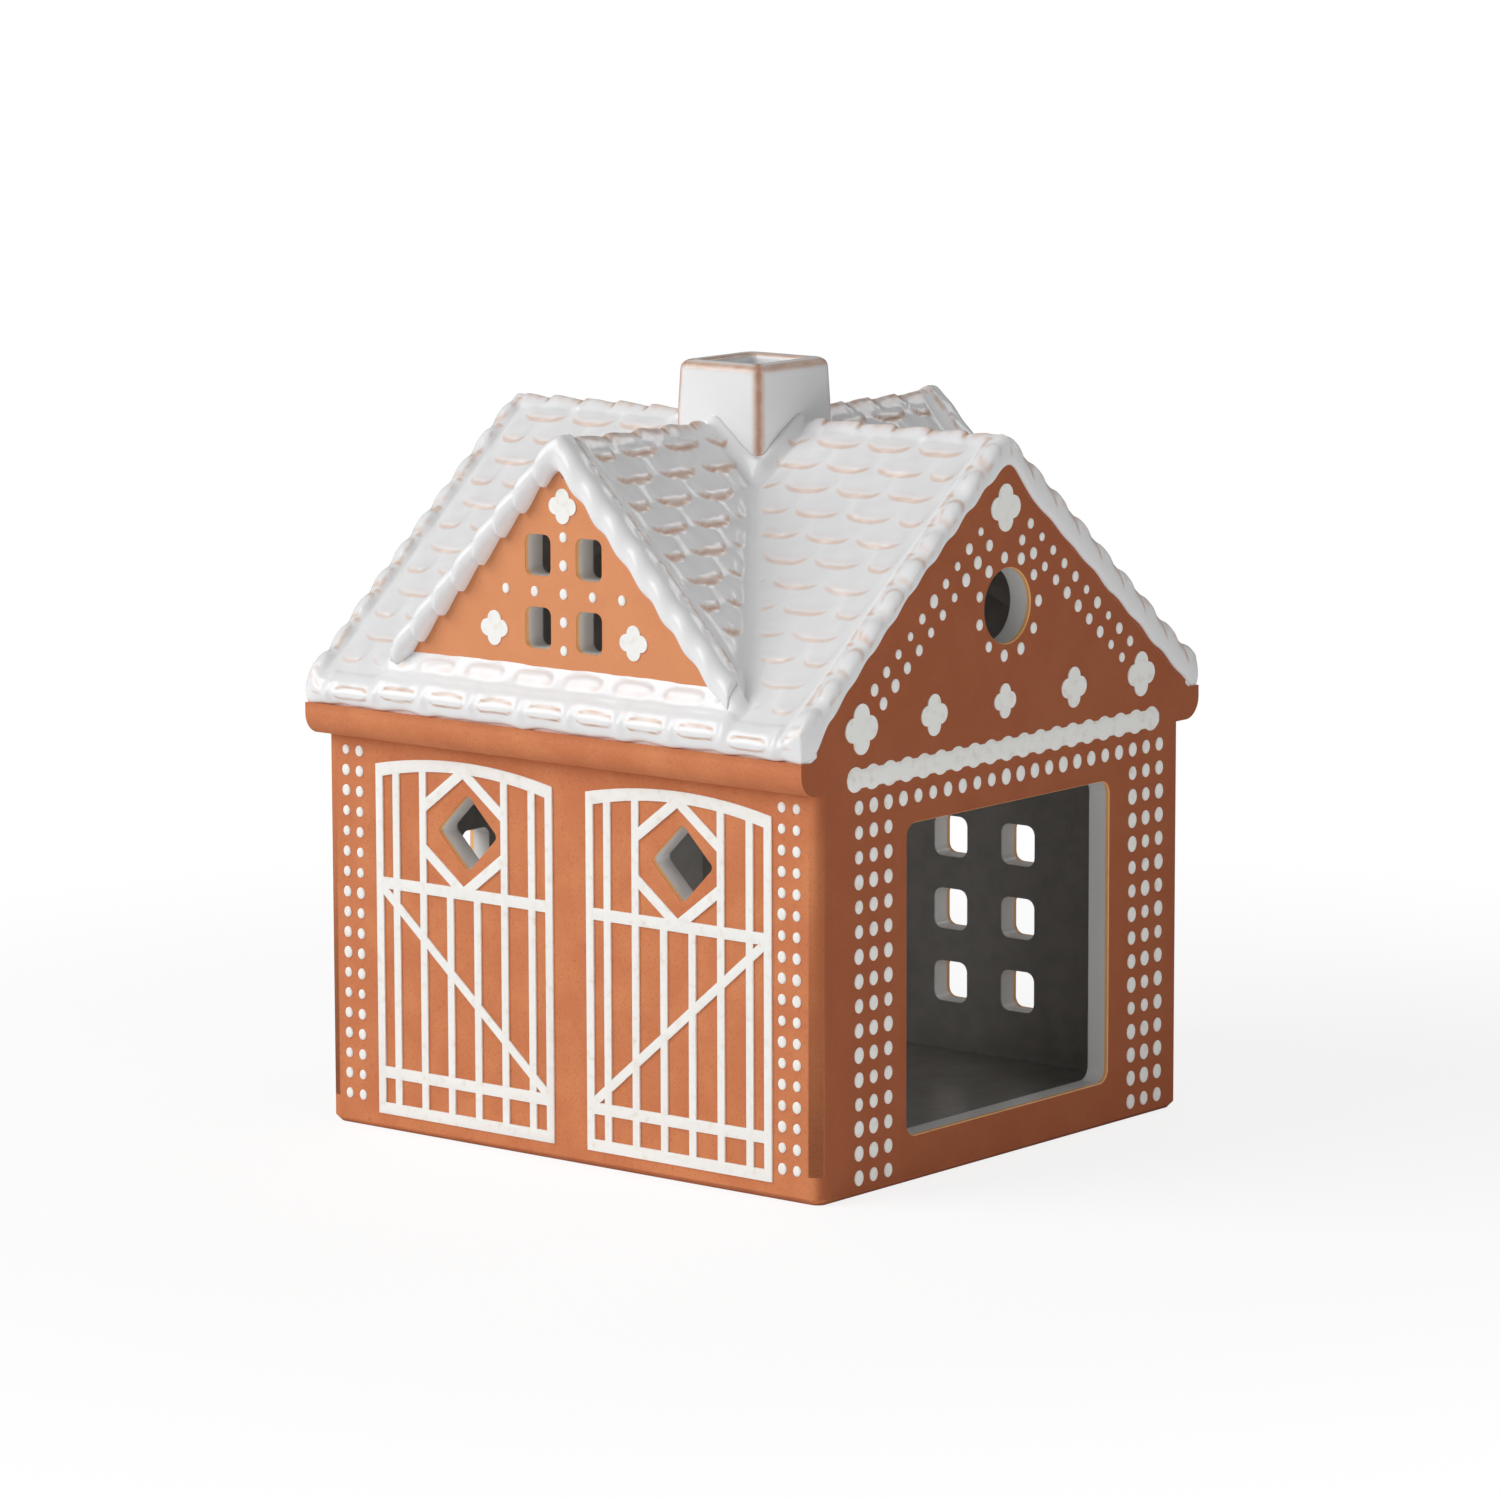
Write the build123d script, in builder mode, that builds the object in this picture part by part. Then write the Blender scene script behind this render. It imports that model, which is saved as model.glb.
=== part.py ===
from build123d import *
import os
from math import atan2, cos, degrees, hypot, pi, radians, sin, tan

# Ceramic tealight house with a cross-gabled roof, in millimetres.
# X runs along the main ridge, the front wall with the two doors faces -Y, +Z is up.
# The origin is the middle of the underside.

# Body
house_length = 120.0
house_depth = 111.2
wall_thickness = 5.0
floor_thickness = 5.3
corner_radius = 3.0
foot_edge_chamfer = 1.2
foot_rim_width = 7.0
foot_recess_depth = 1.0
wall_height = 83.1  # where the outer wall face meets the underside of the roof

# Roof
main_pitch = 39.0
dormer_pitch = 46.0
roof_thickness = 5.0
dormer_roof_thickness = 4.3
eave_overhang = 5.3
soffit_drop = 1.6
cornice_height = 6.2
cornice_cove = 1.2

# Raised shingles, ridge caps, rake rolls and eave drips of thick glaze
shingle_width = 12.2
shingle_gap = 1.3
shingle_lip = 0.9
shingle_bed = 0.4
shingle_courses = 11
valley_margin = 3.0
chimney_margin = 2.0
cap_width = 3.2
cap_pitch = 8.2
cap_low = 0.4
cap_high = 0.8
rake_width = 4.2
rake_pitch = 8.1
rake_low = 0.6
rake_high = 1.1
sill_rise = 3.0
sill_shelf = 1.0
drip_thickness = 1.3
drip_depth = 1.3

# Chimney
chimney_length = 19.6
chimney_width = 21.4
chimney_rise = 11.0
chimney_wall = 3.7
chimney_edge_radius = 1.4
chimney_rim_chamfer = 0.7

# Openings
doorway_width = 62.2
doorway_sill = 8.7
doorway_lintel = 16.4  # from the doorway's top to the wall's top
doorway_corner = 2.5
doorway_shift = 1.0
round_window_radius = 7.0
round_window_share = 0.4522  # of the gable's rise above the wall's top
window_size = 8.1
window_corner = 1.1
window_top_row = 47.9
window_row_pitch = 14.5
window_rows = 3
rear_window_pitch = 16.4
rear_window_columns = 4
left_window_pitch = 18.4
left_window_columns = 3
diamond_half_width = 7.4
diamond_half_height = 7.4
diamond_corner = 1.1
diamond_drop = 11.0  # below the top of the door's side
diamond_shift = 0.9
dormer_window_corner = 0.9
dormer_window_columns = 2
dormer_window_rows = 2

# Dormer windows, as shares of the height of the dormer's clay triangle
dormer_window_width_share = 0.173
dormer_window_height_share = 0.2177
dormer_window_pitch_x_share = 0.3433
dormer_window_pitch_z_share = 0.3768
dormer_window_level_share = 0.3913  # middle of the group above the sill

# White slip ornament
icing_height = 0.35
dot_height = 0.5
dot_sides = 5
bead_sides = 6
door_margin = 12.1  # from each end of the wall, before the shift
door_gap = 8.2
door_shift = 1.1
door_sill = 3.3
door_head_gap = 12.6  # from the top of the door's side to the wall's top
door_rise = 2.3
door_frame = 1.7
door_rail = 2.2
door_bar = 1.6
door_mid_rail_drop = 22.6  # below the top of the door's side
door_low_rail = 11.4
door_bar_count = 6
door_brace = 1.7
surround_half_width = 13.5
surround_half_height = 10.25
surround_stroke = 2.5
wall_dot_radius = 1.0
wall_dot_rows = 18
wall_dot_bottom = 6.1
wall_dot_head_gap = 10.7
wall_dot_inset = 5.4
wall_dot_columns = 2
wall_dot_column_pitch = 3.4
gable_dot_radius = 1.35
gable_dot_rows = 16
gable_dot_bottom = 3.6
gable_dot_head_gap = 11.4
gable_dot_inset_share = 0.3837  # of the band between the doorway and the corner
gable_dot_band_share = 0.36
gable_dot_column_pitch = 4.3
gable_dot_shift = 1.65
garland_beads = 19
garland_bead_radius = 2.5
garland_bar = 3.4
garland_inset = 9.9
garland_drop = 6.2  # below the wall's top
gable_peak_shift = -0.9
quatrefoil_sizes = (10.0, 8.3, 7.0, 8.3, 9.2)
quatrefoil_peak_size = 9.5
rake_dot_radius = 1.05
rake_dot_count = 10
window_ring_gap = 2.2
window_ring_count = 11
window_ring_clearance = 0.3
dormer_dot_radius = 0.95
dormer_cross_arm = 2  # dots on each arm of the cross, beside the middle one
dormer_quatrefoil_size = 7.0

# Places of the gable's ornament, as shares of the gable's rise above the wall's top
quatrefoil_row_share = 0.0622
quatrefoil_pitch_share = 0.4753
quatrefoil_peak_share = 0.8587
rake_dot_pitch_share = 0.0777
rake_dot_start_shares = (0.1688, 0.1111)  # outer and inner row, from the middle
rake_dot_drop_shares = (0.0866, 0.1955)  # below the gable's clay edge

# Places of the dormer's ornament, as shares of the height of its clay triangle
dormer_dot_pitch_x_share = 0.1954
dormer_dot_pitch_z_share = 0.1465
dormer_quatrefoil_peak_share = 0.8435
dormer_quatrefoil_low_share = 0.1792
dormer_quatrefoil_reach_share = 0.4689

# One overrun serves all cuts
overrun = 2.0

# Worked out from the sizes above
half_length = house_length / 2
half_depth = house_depth / 2
room_half_depth = half_depth - wall_thickness
main_drop = tan(radians(main_pitch))
dormer_drop = tan(radians(dormer_pitch))
main_ceiling = wall_height + main_drop * half_depth
ridge_height = main_ceiling + roof_thickness / cos(radians(main_pitch))
dormer_ceiling = ridge_height - dormer_roof_thickness / cos(radians(dormer_pitch))
eave_reach = half_depth + eave_overhang
soffit_height = wall_height - soffit_drop
soffit_reach = half_depth + soffit_drop / main_drop
eave_top = ridge_height - main_drop * eave_reach
cornice_foot = soffit_height - cornice_height
dormer_foot = half_depth * main_drop / dormer_drop  # half width of the dormer where it meets the main roof
sill_half_length = dormer_foot - rake_width
front_plane = Plane.XZ.offset(half_depth)
right_plane = Plane.YZ.offset(half_length)
half_chimney_length = chimney_length / 2
half_chimney_width = chimney_width / 2
gable_rise = main_ceiling - wall_height
round_window_level = wall_height + round_window_share * gable_rise
sill_top = eave_top + main_drop * eave_overhang + sill_rise
dormer_face_rise = dormer_ceiling - sill_top  # height of the bare clay triangle
dormer_window_level = sill_top + dormer_window_level_share * dormer_face_rise
dormer_window_width = dormer_window_width_share * dormer_face_rise
dormer_window_height = dormer_window_height_share * dormer_face_rise
doorway_height = wall_height - doorway_lintel - doorway_sill
door_width = (house_length - 2 * door_margin - door_gap) / 2
door_spacing = door_width + door_gap
door_side_top = wall_height - door_head_gap
door_mid_rail = door_side_top - door_mid_rail_drop
diamond_level = door_side_top - diamond_drop


def mirrored(source, about):
    """Mirror image of a finished piece."""
    with BuildPart() as copy:
        mirror(source, about=about)
    return copy.part


def tent(peak, drop, reach, plane, depth):
    """Solid below a pair of slopes, with its five-sided section on the plane."""
    with BuildPart() as solid:
        with BuildSketch(plane):
            with BuildLine():
                Polyline(
                    (-reach, 0),
                    (reach, 0),
                    (reach, peak - drop * reach),
                    (0, peak),
                    (-reach, peak - drop * reach),
                    close=True,
                )
            make_face()
        extrude(amount=depth)
    return solid.part


# Volumes that the roof and walls are trimmed by
main_plane = Plane.YZ.offset(-half_length - overrun)
main_span = house_length + 2 * overrun
main_room = tent(main_ceiling, main_drop, eave_reach + overrun, main_plane, main_span)
main_hull = tent(ridge_height, main_drop, eave_reach + overrun, main_plane, main_span)
front_dormer_room = tent(dormer_ceiling, dormer_drop, half_length, Plane.XZ, half_depth + overrun)
front_dormer_hull = tent(ridge_height, dormer_drop, half_length, Plane.XZ, half_depth)
rear_dormer_room = mirrored(front_dormer_room, Plane.XZ)

with BuildPart() as chimney_hull:
    with BuildSketch(Plane.XY.offset(wall_height)):
        RectangleRounded(chimney_length, chimney_width, chimney_edge_radius)
    extrude(amount=ridge_height + chimney_rise - wall_height)


# Floor slab: the walls stand on it, its underside is relieved inside a flat foot rim
with BuildPart() as floor_slab:
    with BuildSketch():
        RectangleRounded(house_length, house_depth, corner_radius)
    extrude(amount=floor_thickness)
    chamfer(floor_slab.faces().sort_by(Axis.Z)[0].edges(), foot_edge_chamfer)
    with BuildSketch():
        Rectangle(house_length - 2 * foot_rim_width, house_depth - 2 * foot_rim_width)
    extrude(amount=foot_recess_depth, mode=Mode.SUBTRACT)


def long_wall(side):
    """Front (-1) or rear (+1) wall blank, round at its outer corners up to the cornice."""
    wall_line = side * (half_depth - wall_thickness / 2)
    with BuildPart() as wall:
        with BuildSketch(Plane.XY.offset(floor_thickness)):
            RectangleRounded(house_length, house_depth, corner_radius)
            with Locations((0, wall_line)):
                Rectangle(house_length, wall_thickness, mode=Mode.INTERSECT)
        extrude(amount=cornice_foot - floor_thickness)
        with BuildSketch(Plane.XY.offset(cornice_foot)):
            with Locations((0, wall_line)):
                Rectangle(house_length, wall_thickness)
        extrude(amount=ridge_height - cornice_foot)
        add(main_room, mode=Mode.INTERSECT)
    return wall.part


front_blank = long_wall(-1)
rear_blank = long_wall(1)
door_places = [door_shift - door_spacing / 2, door_shift + door_spacing / 2]

# Front wall with a diamond window behind each painted door
with BuildPart() as front_wall:
    add(front_blank)
    with BuildSketch(front_plane):
        with Locations(*[(x + diamond_shift, diamond_level) for x in door_places]):
            Polygon(
                (-diamond_half_width, 0),
                (0, -diamond_half_height),
                (diamond_half_width, 0),
                (0, diamond_half_height),
                align=None,
            )
        fillet(vertices(), diamond_corner)
    extrude(amount=-wall_thickness, mode=Mode.SUBTRACT)

# Rear wall with its grid of small square windows
window_grid_level = window_top_row - window_row_pitch * (window_rows - 1) / 2
with BuildPart() as rear_wall:
    add(rear_blank)
    with BuildSketch(Plane.XZ.offset(-half_depth)):
        with Locations((0, window_grid_level)):
            with GridLocations(rear_window_pitch, window_row_pitch, rear_window_columns, window_rows):
                Rectangle(window_size, window_size)
        chamfer(vertices(), window_corner)
    extrude(amount=wall_thickness, mode=Mode.SUBTRACT)


def gable_blank(side):
    """Gable wall between the long walls, up to the underside of the roof."""
    with BuildPart() as wall:
        with BuildSketch(Plane.XY.offset(floor_thickness)):
            with Locations((side * (half_length - wall_thickness / 2), 0)):
                Rectangle(wall_thickness, 2 * room_half_depth)
        extrude(amount=ridge_height - floor_thickness)
        add(main_room, mode=Mode.INTERSECT)
    return wall.part


right_blank = gable_blank(1)
left_blank = gable_blank(-1)

# Right gable with the wide doorway for the tealight and the round attic window
with BuildPart() as right_gable:
    add(right_blank)
    with BuildSketch(right_plane):
        with Locations((doorway_shift, doorway_sill + doorway_height / 2)):
            RectangleRounded(doorway_width, doorway_height, doorway_corner)
        with Locations((0, round_window_level)):
            Circle(round_window_radius)
    extrude(amount=-wall_thickness, mode=Mode.SUBTRACT)

# Left gable with small square windows and the same round attic window
with BuildPart() as left_gable:
    add(left_blank)
    with BuildSketch(Plane.YZ.offset(-half_length)):
        with Locations((0, window_grid_level)):
            with GridLocations(left_window_pitch, window_row_pitch, left_window_columns, window_rows):
                Rectangle(window_size, window_size)
        chamfer(vertices(), window_corner)
        with Locations((0, round_window_level)):
            Circle(round_window_radius)
    extrude(amount=wall_thickness, mode=Mode.SUBTRACT)

# Front cornice: a cove and a half-round under the eave, along the whole wall
cornice_turn = eave_overhang - cornice_cove
with BuildPart() as front_cornice:
    with BuildSketch(Plane.YZ.offset(-half_length)):
        with BuildLine():
            Line((-soffit_reach, soffit_height), (-half_depth, wall_height))
            Line((-half_depth, wall_height), (-half_depth, cornice_foot))
            Line((-half_depth, cornice_foot), (-half_depth - cornice_cove, cornice_foot))
            RadiusArc(
                (-half_depth - cornice_cove, cornice_foot),
                (-eave_reach, cornice_foot + cornice_turn),
                cornice_turn,
            )
            Line((-eave_reach, cornice_foot + cornice_turn), (-eave_reach, soffit_height))
            Line((-eave_reach, soffit_height), (-soffit_reach, soffit_height))
        make_face()
    extrude(amount=house_length)
rear_cornice = mirrored(front_cornice.part, Plane.XZ)

# Front dormer wall: a triangle with four windows, standing on the front wall's top
with BuildPart() as front_dormer_wall:
    with BuildSketch(front_plane):
        with Locations((0, wall_height)):
            Rectangle(house_length, ridge_height - wall_height, align=(Align.CENTER, Align.MIN))
    extrude(amount=-wall_thickness)
    add(front_dormer_room, mode=Mode.INTERSECT)
    add(main_room, mode=Mode.SUBTRACT)
    with BuildSketch(front_plane):
        with Locations((0, dormer_window_level)):
            with GridLocations(
                dormer_window_pitch_x_share * dormer_face_rise,
                dormer_window_pitch_z_share * dormer_face_rise,
                dormer_window_columns,
                dormer_window_rows,
            ):
                Rectangle(dormer_window_width, dormer_window_height)
        chamfer(vertices(), dormer_window_corner)
    extrude(amount=-wall_thickness, mode=Mode.SUBTRACT)
rear_dormer_wall = mirrored(front_dormer_wall.part, Plane.XZ)

# Shingles are wedges that rise towards their lower lip, in courses set half a tile apart
main_slope_length = eave_reach / cos(radians(main_pitch))
main_cap_edge = cap_width / cos(radians(main_pitch))
dormer_cap_edge = cap_width / cos(radians(dormer_pitch))
course_pitch = (main_slope_length - main_cap_edge) / shingle_courses
tile_width = shingle_width - shingle_gap


def shingle(width):
    """One tile in its own frame: X across, Y up the slope from the lip, Z outwards."""
    with BuildPart() as tile:
        with BuildSketch(Plane.YZ.offset(-width / 2)):
            with BuildLine():
                Polyline(
                    (0, -shingle_bed),
                    (0, shingle_lip),
                    (course_pitch - shingle_gap, 0),
                    (course_pitch - shingle_gap, -shingle_bed),
                    close=True,
                )
            make_face()
        extrude(amount=width)
    return tile.part


whole_tile = shingle(tile_width)
half_tile = shingle(tile_width - shingle_width / 2)


def course_places(inner, outer, odd):
    """Tile centres of one course, filled from its outer end, and whether each is a half."""
    places = []
    edge = outer
    if odd:
        places.append((edge - shingle_width / 4, True))
        edge -= shingle_width / 2
    while edge - shingle_width >= inner:
        places.append((edge - shingle_width / 2, False))
        edge -= shingle_width
    if edge - shingle_width / 2 >= inner:
        places.append((edge - shingle_width / 4, True))
    return places


def tile_seats(slope, mirror_sides, courses):
    """Frames of the whole and the half tiles on a slope, from (lip distance, inner, outer)."""
    whole = []
    half = []
    for number, (down, inner, outer) in enumerate(courses):
        for across, is_half in course_places(inner, outer, number % 2 == 1):
            group = half if is_half else whole
            for side in mirror_sides:
                group.append(slope.location * Location((side * across, -down, 0)))
    return whole, half


def main_courses():
    """Courses of the main slope, from the ridge cap down to the eave."""
    courses = []
    outer = half_length - rake_width - shingle_gap
    for number in range(1, shingle_courses + 1):
        down = main_cap_edge + number * course_pitch
        lip_y = down * cos(radians(main_pitch))
        top_y = (down - course_pitch) * cos(radians(main_pitch))
        inner = lip_y * main_drop / dormer_drop + valley_margin
        if top_y < half_chimney_width + chimney_margin:
            inner = max(inner, half_chimney_length + chimney_margin)
        if top_y > half_depth:
            inner = sill_half_length + shingle_gap
        courses.append((down - shingle_gap / 2, inner, outer))
    return courses


def dormer_courses():
    """Courses of one dormer slope, from its ridge cap down to where the valley ends it."""
    courses = []
    outer = half_depth - rake_width - shingle_gap
    down = dormer_cap_edge + course_pitch
    while True:
        lip_x = down * cos(radians(dormer_pitch))
        top_x = (down - course_pitch) * cos(radians(dormer_pitch))
        inner = lip_x * dormer_drop / main_drop + valley_margin
        if top_x < half_chimney_length + chimney_margin:
            inner = max(inner, half_chimney_width + chimney_margin)
        if inner > outer:
            return courses
        courses.append((down - shingle_gap / 2, inner, outer))
        down += course_pitch


def slope_normal(pitch):
    """Sine and cosine that tilt a slope's outward normal away from +Z."""
    return sin(radians(pitch)), cos(radians(pitch))


# Front roof slope: one slab down to the eave, notched where the dormer rises through it
main_sine, main_cosine = slope_normal(main_pitch)
front_slope = Plane(
    origin=(0, 0, ridge_height), x_dir=(1, 0, 0), z_dir=(0, -main_sine, main_cosine)
)
whole_seats, half_seats = tile_seats(front_slope, (1, -1), main_courses())
with BuildPart() as front_roof:
    with BuildSketch(Plane.YZ.offset(-half_length)):
        with BuildLine():
            Polyline(
                (0, main_ceiling),
                (0, ridge_height),
                (-eave_reach, eave_top),
                (-eave_reach, soffit_height),
                (-soffit_reach, soffit_height),
                close=True,
            )
        make_face()
    extrude(amount=house_length)
    add(front_dormer_hull, mode=Mode.SUBTRACT)
    add(chimney_hull.part, mode=Mode.SUBTRACT)
    with Locations(*whole_seats):
        add(whole_tile)
    with Locations(*half_seats):
        add(half_tile)
rear_roof = mirrored(front_roof.part, Plane.XZ)

# Dormer roof slope to the right of the front dormer, cut to rest on the main roof's edge
dormer_sine, dormer_cosine = slope_normal(dormer_pitch)
dormer_slope = Plane(
    origin=(0, 0, ridge_height), x_dir=(0, 1, 0), z_dir=(dormer_sine, 0, dormer_cosine)
)
whole_seats, half_seats = tile_seats(dormer_slope, (-1,), dormer_courses())
with BuildPart() as front_dormer_roof_right:
    with BuildSketch(front_plane):
        with BuildLine():
            Polyline(
                (0, dormer_ceiling),
                (0, ridge_height),
                (half_length, ridge_height - dormer_drop * half_length),
                (half_length, dormer_ceiling - dormer_drop * half_length),
                close=True,
            )
        make_face()
    extrude(amount=-half_depth)
    add(main_room, mode=Mode.SUBTRACT)
    add(chimney_hull.part, mode=Mode.SUBTRACT)
    with Locations(*whole_seats):
        add(whole_tile)
    with Locations(*half_seats):
        add(half_tile)
front_dormer_roof_left = mirrored(front_dormer_roof_right.part, Plane.YZ)
rear_dormer_roof_right = mirrored(front_dormer_roof_right.part, Plane.XZ)
rear_dormer_roof_left = mirrored(front_dormer_roof_left, Plane.XZ)


def cap_outline(drop, rise):
    """Outline of the bent strip that rides on a ridge, this high above it."""
    return [
        (-cap_width, -drop * cap_width),
        (0, 0),
        (cap_width, -drop * cap_width),
        (cap_width, rise - drop * cap_width),
        (0, rise),
        (-cap_width, rise - drop * cap_width),
    ]


def ridge_caps(start, length, drop):
    """Row of caps along a ridge, each thick at its outer end, from the start plane."""
    count = max(1, round(length / cap_pitch))
    step = length / count
    with BuildPart() as row:
        for number in range(count):
            with BuildSketch(start.offset(number * step)):
                with BuildLine():
                    Polyline(*cap_outline(drop, cap_low), close=True)
                make_face()
            with BuildSketch(start.offset((number + 1) * step)):
                with BuildLine():
                    Polyline(*cap_outline(drop, cap_high), close=True)
                make_face()
            loft(ruled=True)
    return row.part


right_ridge_start = Plane(
    origin=(half_chimney_length, 0, ridge_height), x_dir=(0, 1, 0), z_dir=(1, 0, 0)
)
right_ridge_caps = ridge_caps(
    right_ridge_start, half_length - rake_width - half_chimney_length, main_drop
)
left_ridge_caps = mirrored(right_ridge_caps, Plane.YZ)
front_ridge_start = Plane(
    origin=(0, -half_chimney_width, ridge_height), x_dir=(1, 0, 0), z_dir=(0, -1, 0)
)
front_ridge_caps = ridge_caps(
    front_ridge_start, half_depth - rake_width - half_chimney_width, dormer_drop
)
rear_ridge_caps = mirrored(front_ridge_caps, Plane.XZ)


def rake_roll(section_plane, drop, slope_length):
    """Roll along a gable's sloping edge, stepped like lapped caps, plumb at both ends."""
    count = round(slope_length / rake_pitch)
    step = slope_length / count
    points = [(0, 0), (-rake_high * drop, rake_high)]
    for number in range(count):
        lap = (number + 1) * step
        points.append((lap - step / 2, rake_low))
        if number < count - 1:
            points.append((lap, rake_high))
    points.append((slope_length - rake_high * drop, rake_high))
    points.append((slope_length, 0))
    with BuildPart() as roll:
        with BuildSketch(section_plane):
            with BuildLine():
                Polyline(*points, close=True)
            make_face()
        extrude(amount=rake_width)
    return roll.part


# Rolls over the gable walls, full length of the slope
right_rake_plane = Plane(
    origin=(half_length, 0, ridge_height), x_dir=(0, -main_cosine, -main_sine), z_dir=(-1, 0, 0)
)
right_gable_front_rake = rake_roll(right_rake_plane, main_drop, main_slope_length)
right_gable_rear_rake = mirrored(right_gable_front_rake, Plane.XZ)
left_gable_front_rake = mirrored(right_gable_front_rake, Plane.YZ)
left_gable_rear_rake = mirrored(right_gable_rear_rake, Plane.YZ)

# Rolls over the dormer walls, down to the main roof that ends them
dormer_rake_plane = Plane(
    origin=(0, rake_width - half_depth, ridge_height),
    x_dir=(dormer_cosine, 0, -dormer_sine),
    z_dir=(0, -1, 0),
)
dormer_rake_blank = rake_roll(dormer_rake_plane, dormer_drop, dormer_foot / dormer_cosine)
with BuildPart() as front_dormer_right_rake:
    add(dormer_rake_blank)
    add(main_hull, mode=Mode.SUBTRACT)
front_dormer_left_rake = mirrored(front_dormer_right_rake.part, Plane.YZ)
rear_dormer_right_rake = mirrored(front_dormer_right_rake.part, Plane.XZ)
rear_dormer_left_rake = mirrored(front_dormer_left_rake, Plane.XZ)

# Sill drift: glaze that lies against the foot of the dormer wall, on the main slope
with BuildPart() as front_dormer_sill:
    with BuildSketch(Plane.YZ.offset(-sill_half_length)):
        with BuildLine():
            Polyline(
                (-half_depth, sill_top - sill_rise),
                (-half_depth, sill_top),
                (-half_depth - sill_shelf, sill_top - sill_shelf),
                (-eave_reach, eave_top),
                close=True,
            )
        make_face()
    extrude(amount=2 * sill_half_length)
rear_dormer_sill = mirrored(front_dormer_sill.part, Plane.XZ)

# Eave drips: a lip of glaze on the slab's end with a scalloped lower edge
drip_count = round(house_length / shingle_width)
drip_step = house_length / drip_count
with BuildPart() as front_eave_drips:
    with BuildSketch(Plane.XZ.offset(eave_reach)):
        with BuildLine():
            Polyline(
                (-half_length, soffit_height),
                (-half_length, eave_top),
                (half_length, eave_top),
                (half_length, soffit_height),
            )
            for number in range(drip_count):
                start_x = half_length - number * drip_step
                ThreePointArc(
                    (start_x, soffit_height),
                    (start_x - drip_step / 2, soffit_height - drip_depth),
                    (start_x - drip_step, soffit_height),
                )
        make_face()
    extrude(amount=drip_thickness)
rear_eave_drips = mirrored(front_eave_drips.part, Plane.XZ)

# Chimney: an open square tube that reaches down to the attic's ceiling
with BuildPart() as chimney:
    add(chimney_hull.part)
    chamfer(chimney.faces().sort_by(Axis.Z)[-1].edges(), chimney_rim_chamfer)
    with BuildSketch(Plane.XY.offset(wall_height)):
        Rectangle(chimney_length - 2 * chimney_wall, chimney_width - 2 * chimney_wall)
    extrude(amount=ridge_height + chimney_rise - wall_height, mode=Mode.SUBTRACT)
    add(main_room, mode=Mode.SUBTRACT)
    add(front_dormer_room, mode=Mode.SUBTRACT)
    add(rear_dormer_room, mode=Mode.SUBTRACT)


# White slip on the walls. The small dots, beads and petals are few-sided, as they repeat.
def dots_on(plane, places, radius):
    """Separate low mounds of slip at places on a wall plane."""
    with BuildSketch() as base:
        RegularPolygon(radius, dot_sides)
    with BuildPart() as dot:
        loft(sections=[base.sketch.face(), Vertex(0, 0, dot_height)], ruled=True)
    with BuildPart() as group:
        with Locations(*[plane.location * Location((across, up, 0)) for across, up in places]):
            add(dot.part)
    return group.part


def quatrefoils_on(plane, flowers):
    """Raised four-lobed flowers on a wall plane, from (across, up, size)."""
    with BuildPart() as group:
        for across, up, size in flowers:
            petal = size / 4
            with BuildSketch(plane):
                with Locations((across, up)):
                    with PolarLocations(petal, 4):
                        RegularPolygon(petal, bead_sides, rotation=180 / bead_sides)
            extrude(amount=icing_height)
    return group.part


# Painted barn doors: an arched frame, boards, two rails, a brace and a diamond surround
door_half = door_width / 2
door_inner_half = door_half - door_frame
door_bar_pitch = 2 * door_inner_half / door_bar_count
brace_top = door_mid_rail - door_rail / 2
brace_foot = door_low_rail + door_rail / 2
brace_rise = brace_top - brace_foot
brace_run = 2 * door_inner_half
bar_places = [
    (number - (door_bar_count - 1) / 2) * door_bar_pitch for number in range(door_bar_count)
]
upper_bar_places = [x for x in bar_places if abs(x) > door_bar_pitch]  # clear of the diamond
surround_reach = min(abs(x) for x in upper_bar_places)
surround_point_stroke = surround_stroke * surround_half_width / surround_half_height

with BuildSketch() as door_outline:
    with BuildLine():
        Polyline(
            (-door_half, door_side_top),
            (-door_half, door_sill),
            (door_half, door_sill),
            (door_half, door_side_top),
        )
        ThreePointArc(
            (door_half, door_side_top),
            (0, door_side_top + door_rise),
            (-door_half, door_side_top),
        )
    make_face()

with BuildSketch() as door_field:
    with BuildLine():
        Polyline(
            (-door_inner_half, door_side_top - door_rail),
            (-door_inner_half, door_sill + door_rail),
            (door_inner_half, door_sill + door_rail),
            (door_inner_half, door_side_top - door_rail),
        )
        ThreePointArc(
            (door_inner_half, door_side_top - door_rail),
            (0, door_side_top + door_rise - door_rail),
            (-door_inner_half, door_side_top - door_rail),
        )
    make_face()

with BuildSketch() as diamond_surround:
    with Locations((0, diamond_level)):
        Polygon(
            (-surround_half_width - surround_point_stroke, 0),
            (0, -surround_half_height - surround_stroke),
            (surround_half_width + surround_point_stroke, 0),
            (0, surround_half_height + surround_stroke),
            align=None,
        )
        Polygon(
            (-surround_half_width, 0),
            (0, -surround_half_height),
            (surround_half_width, 0),
            (0, surround_half_height),
            align=None,
            mode=Mode.SUBTRACT,
        )
        Rectangle(2 * surround_reach, door_width, mode=Mode.INTERSECT)

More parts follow.
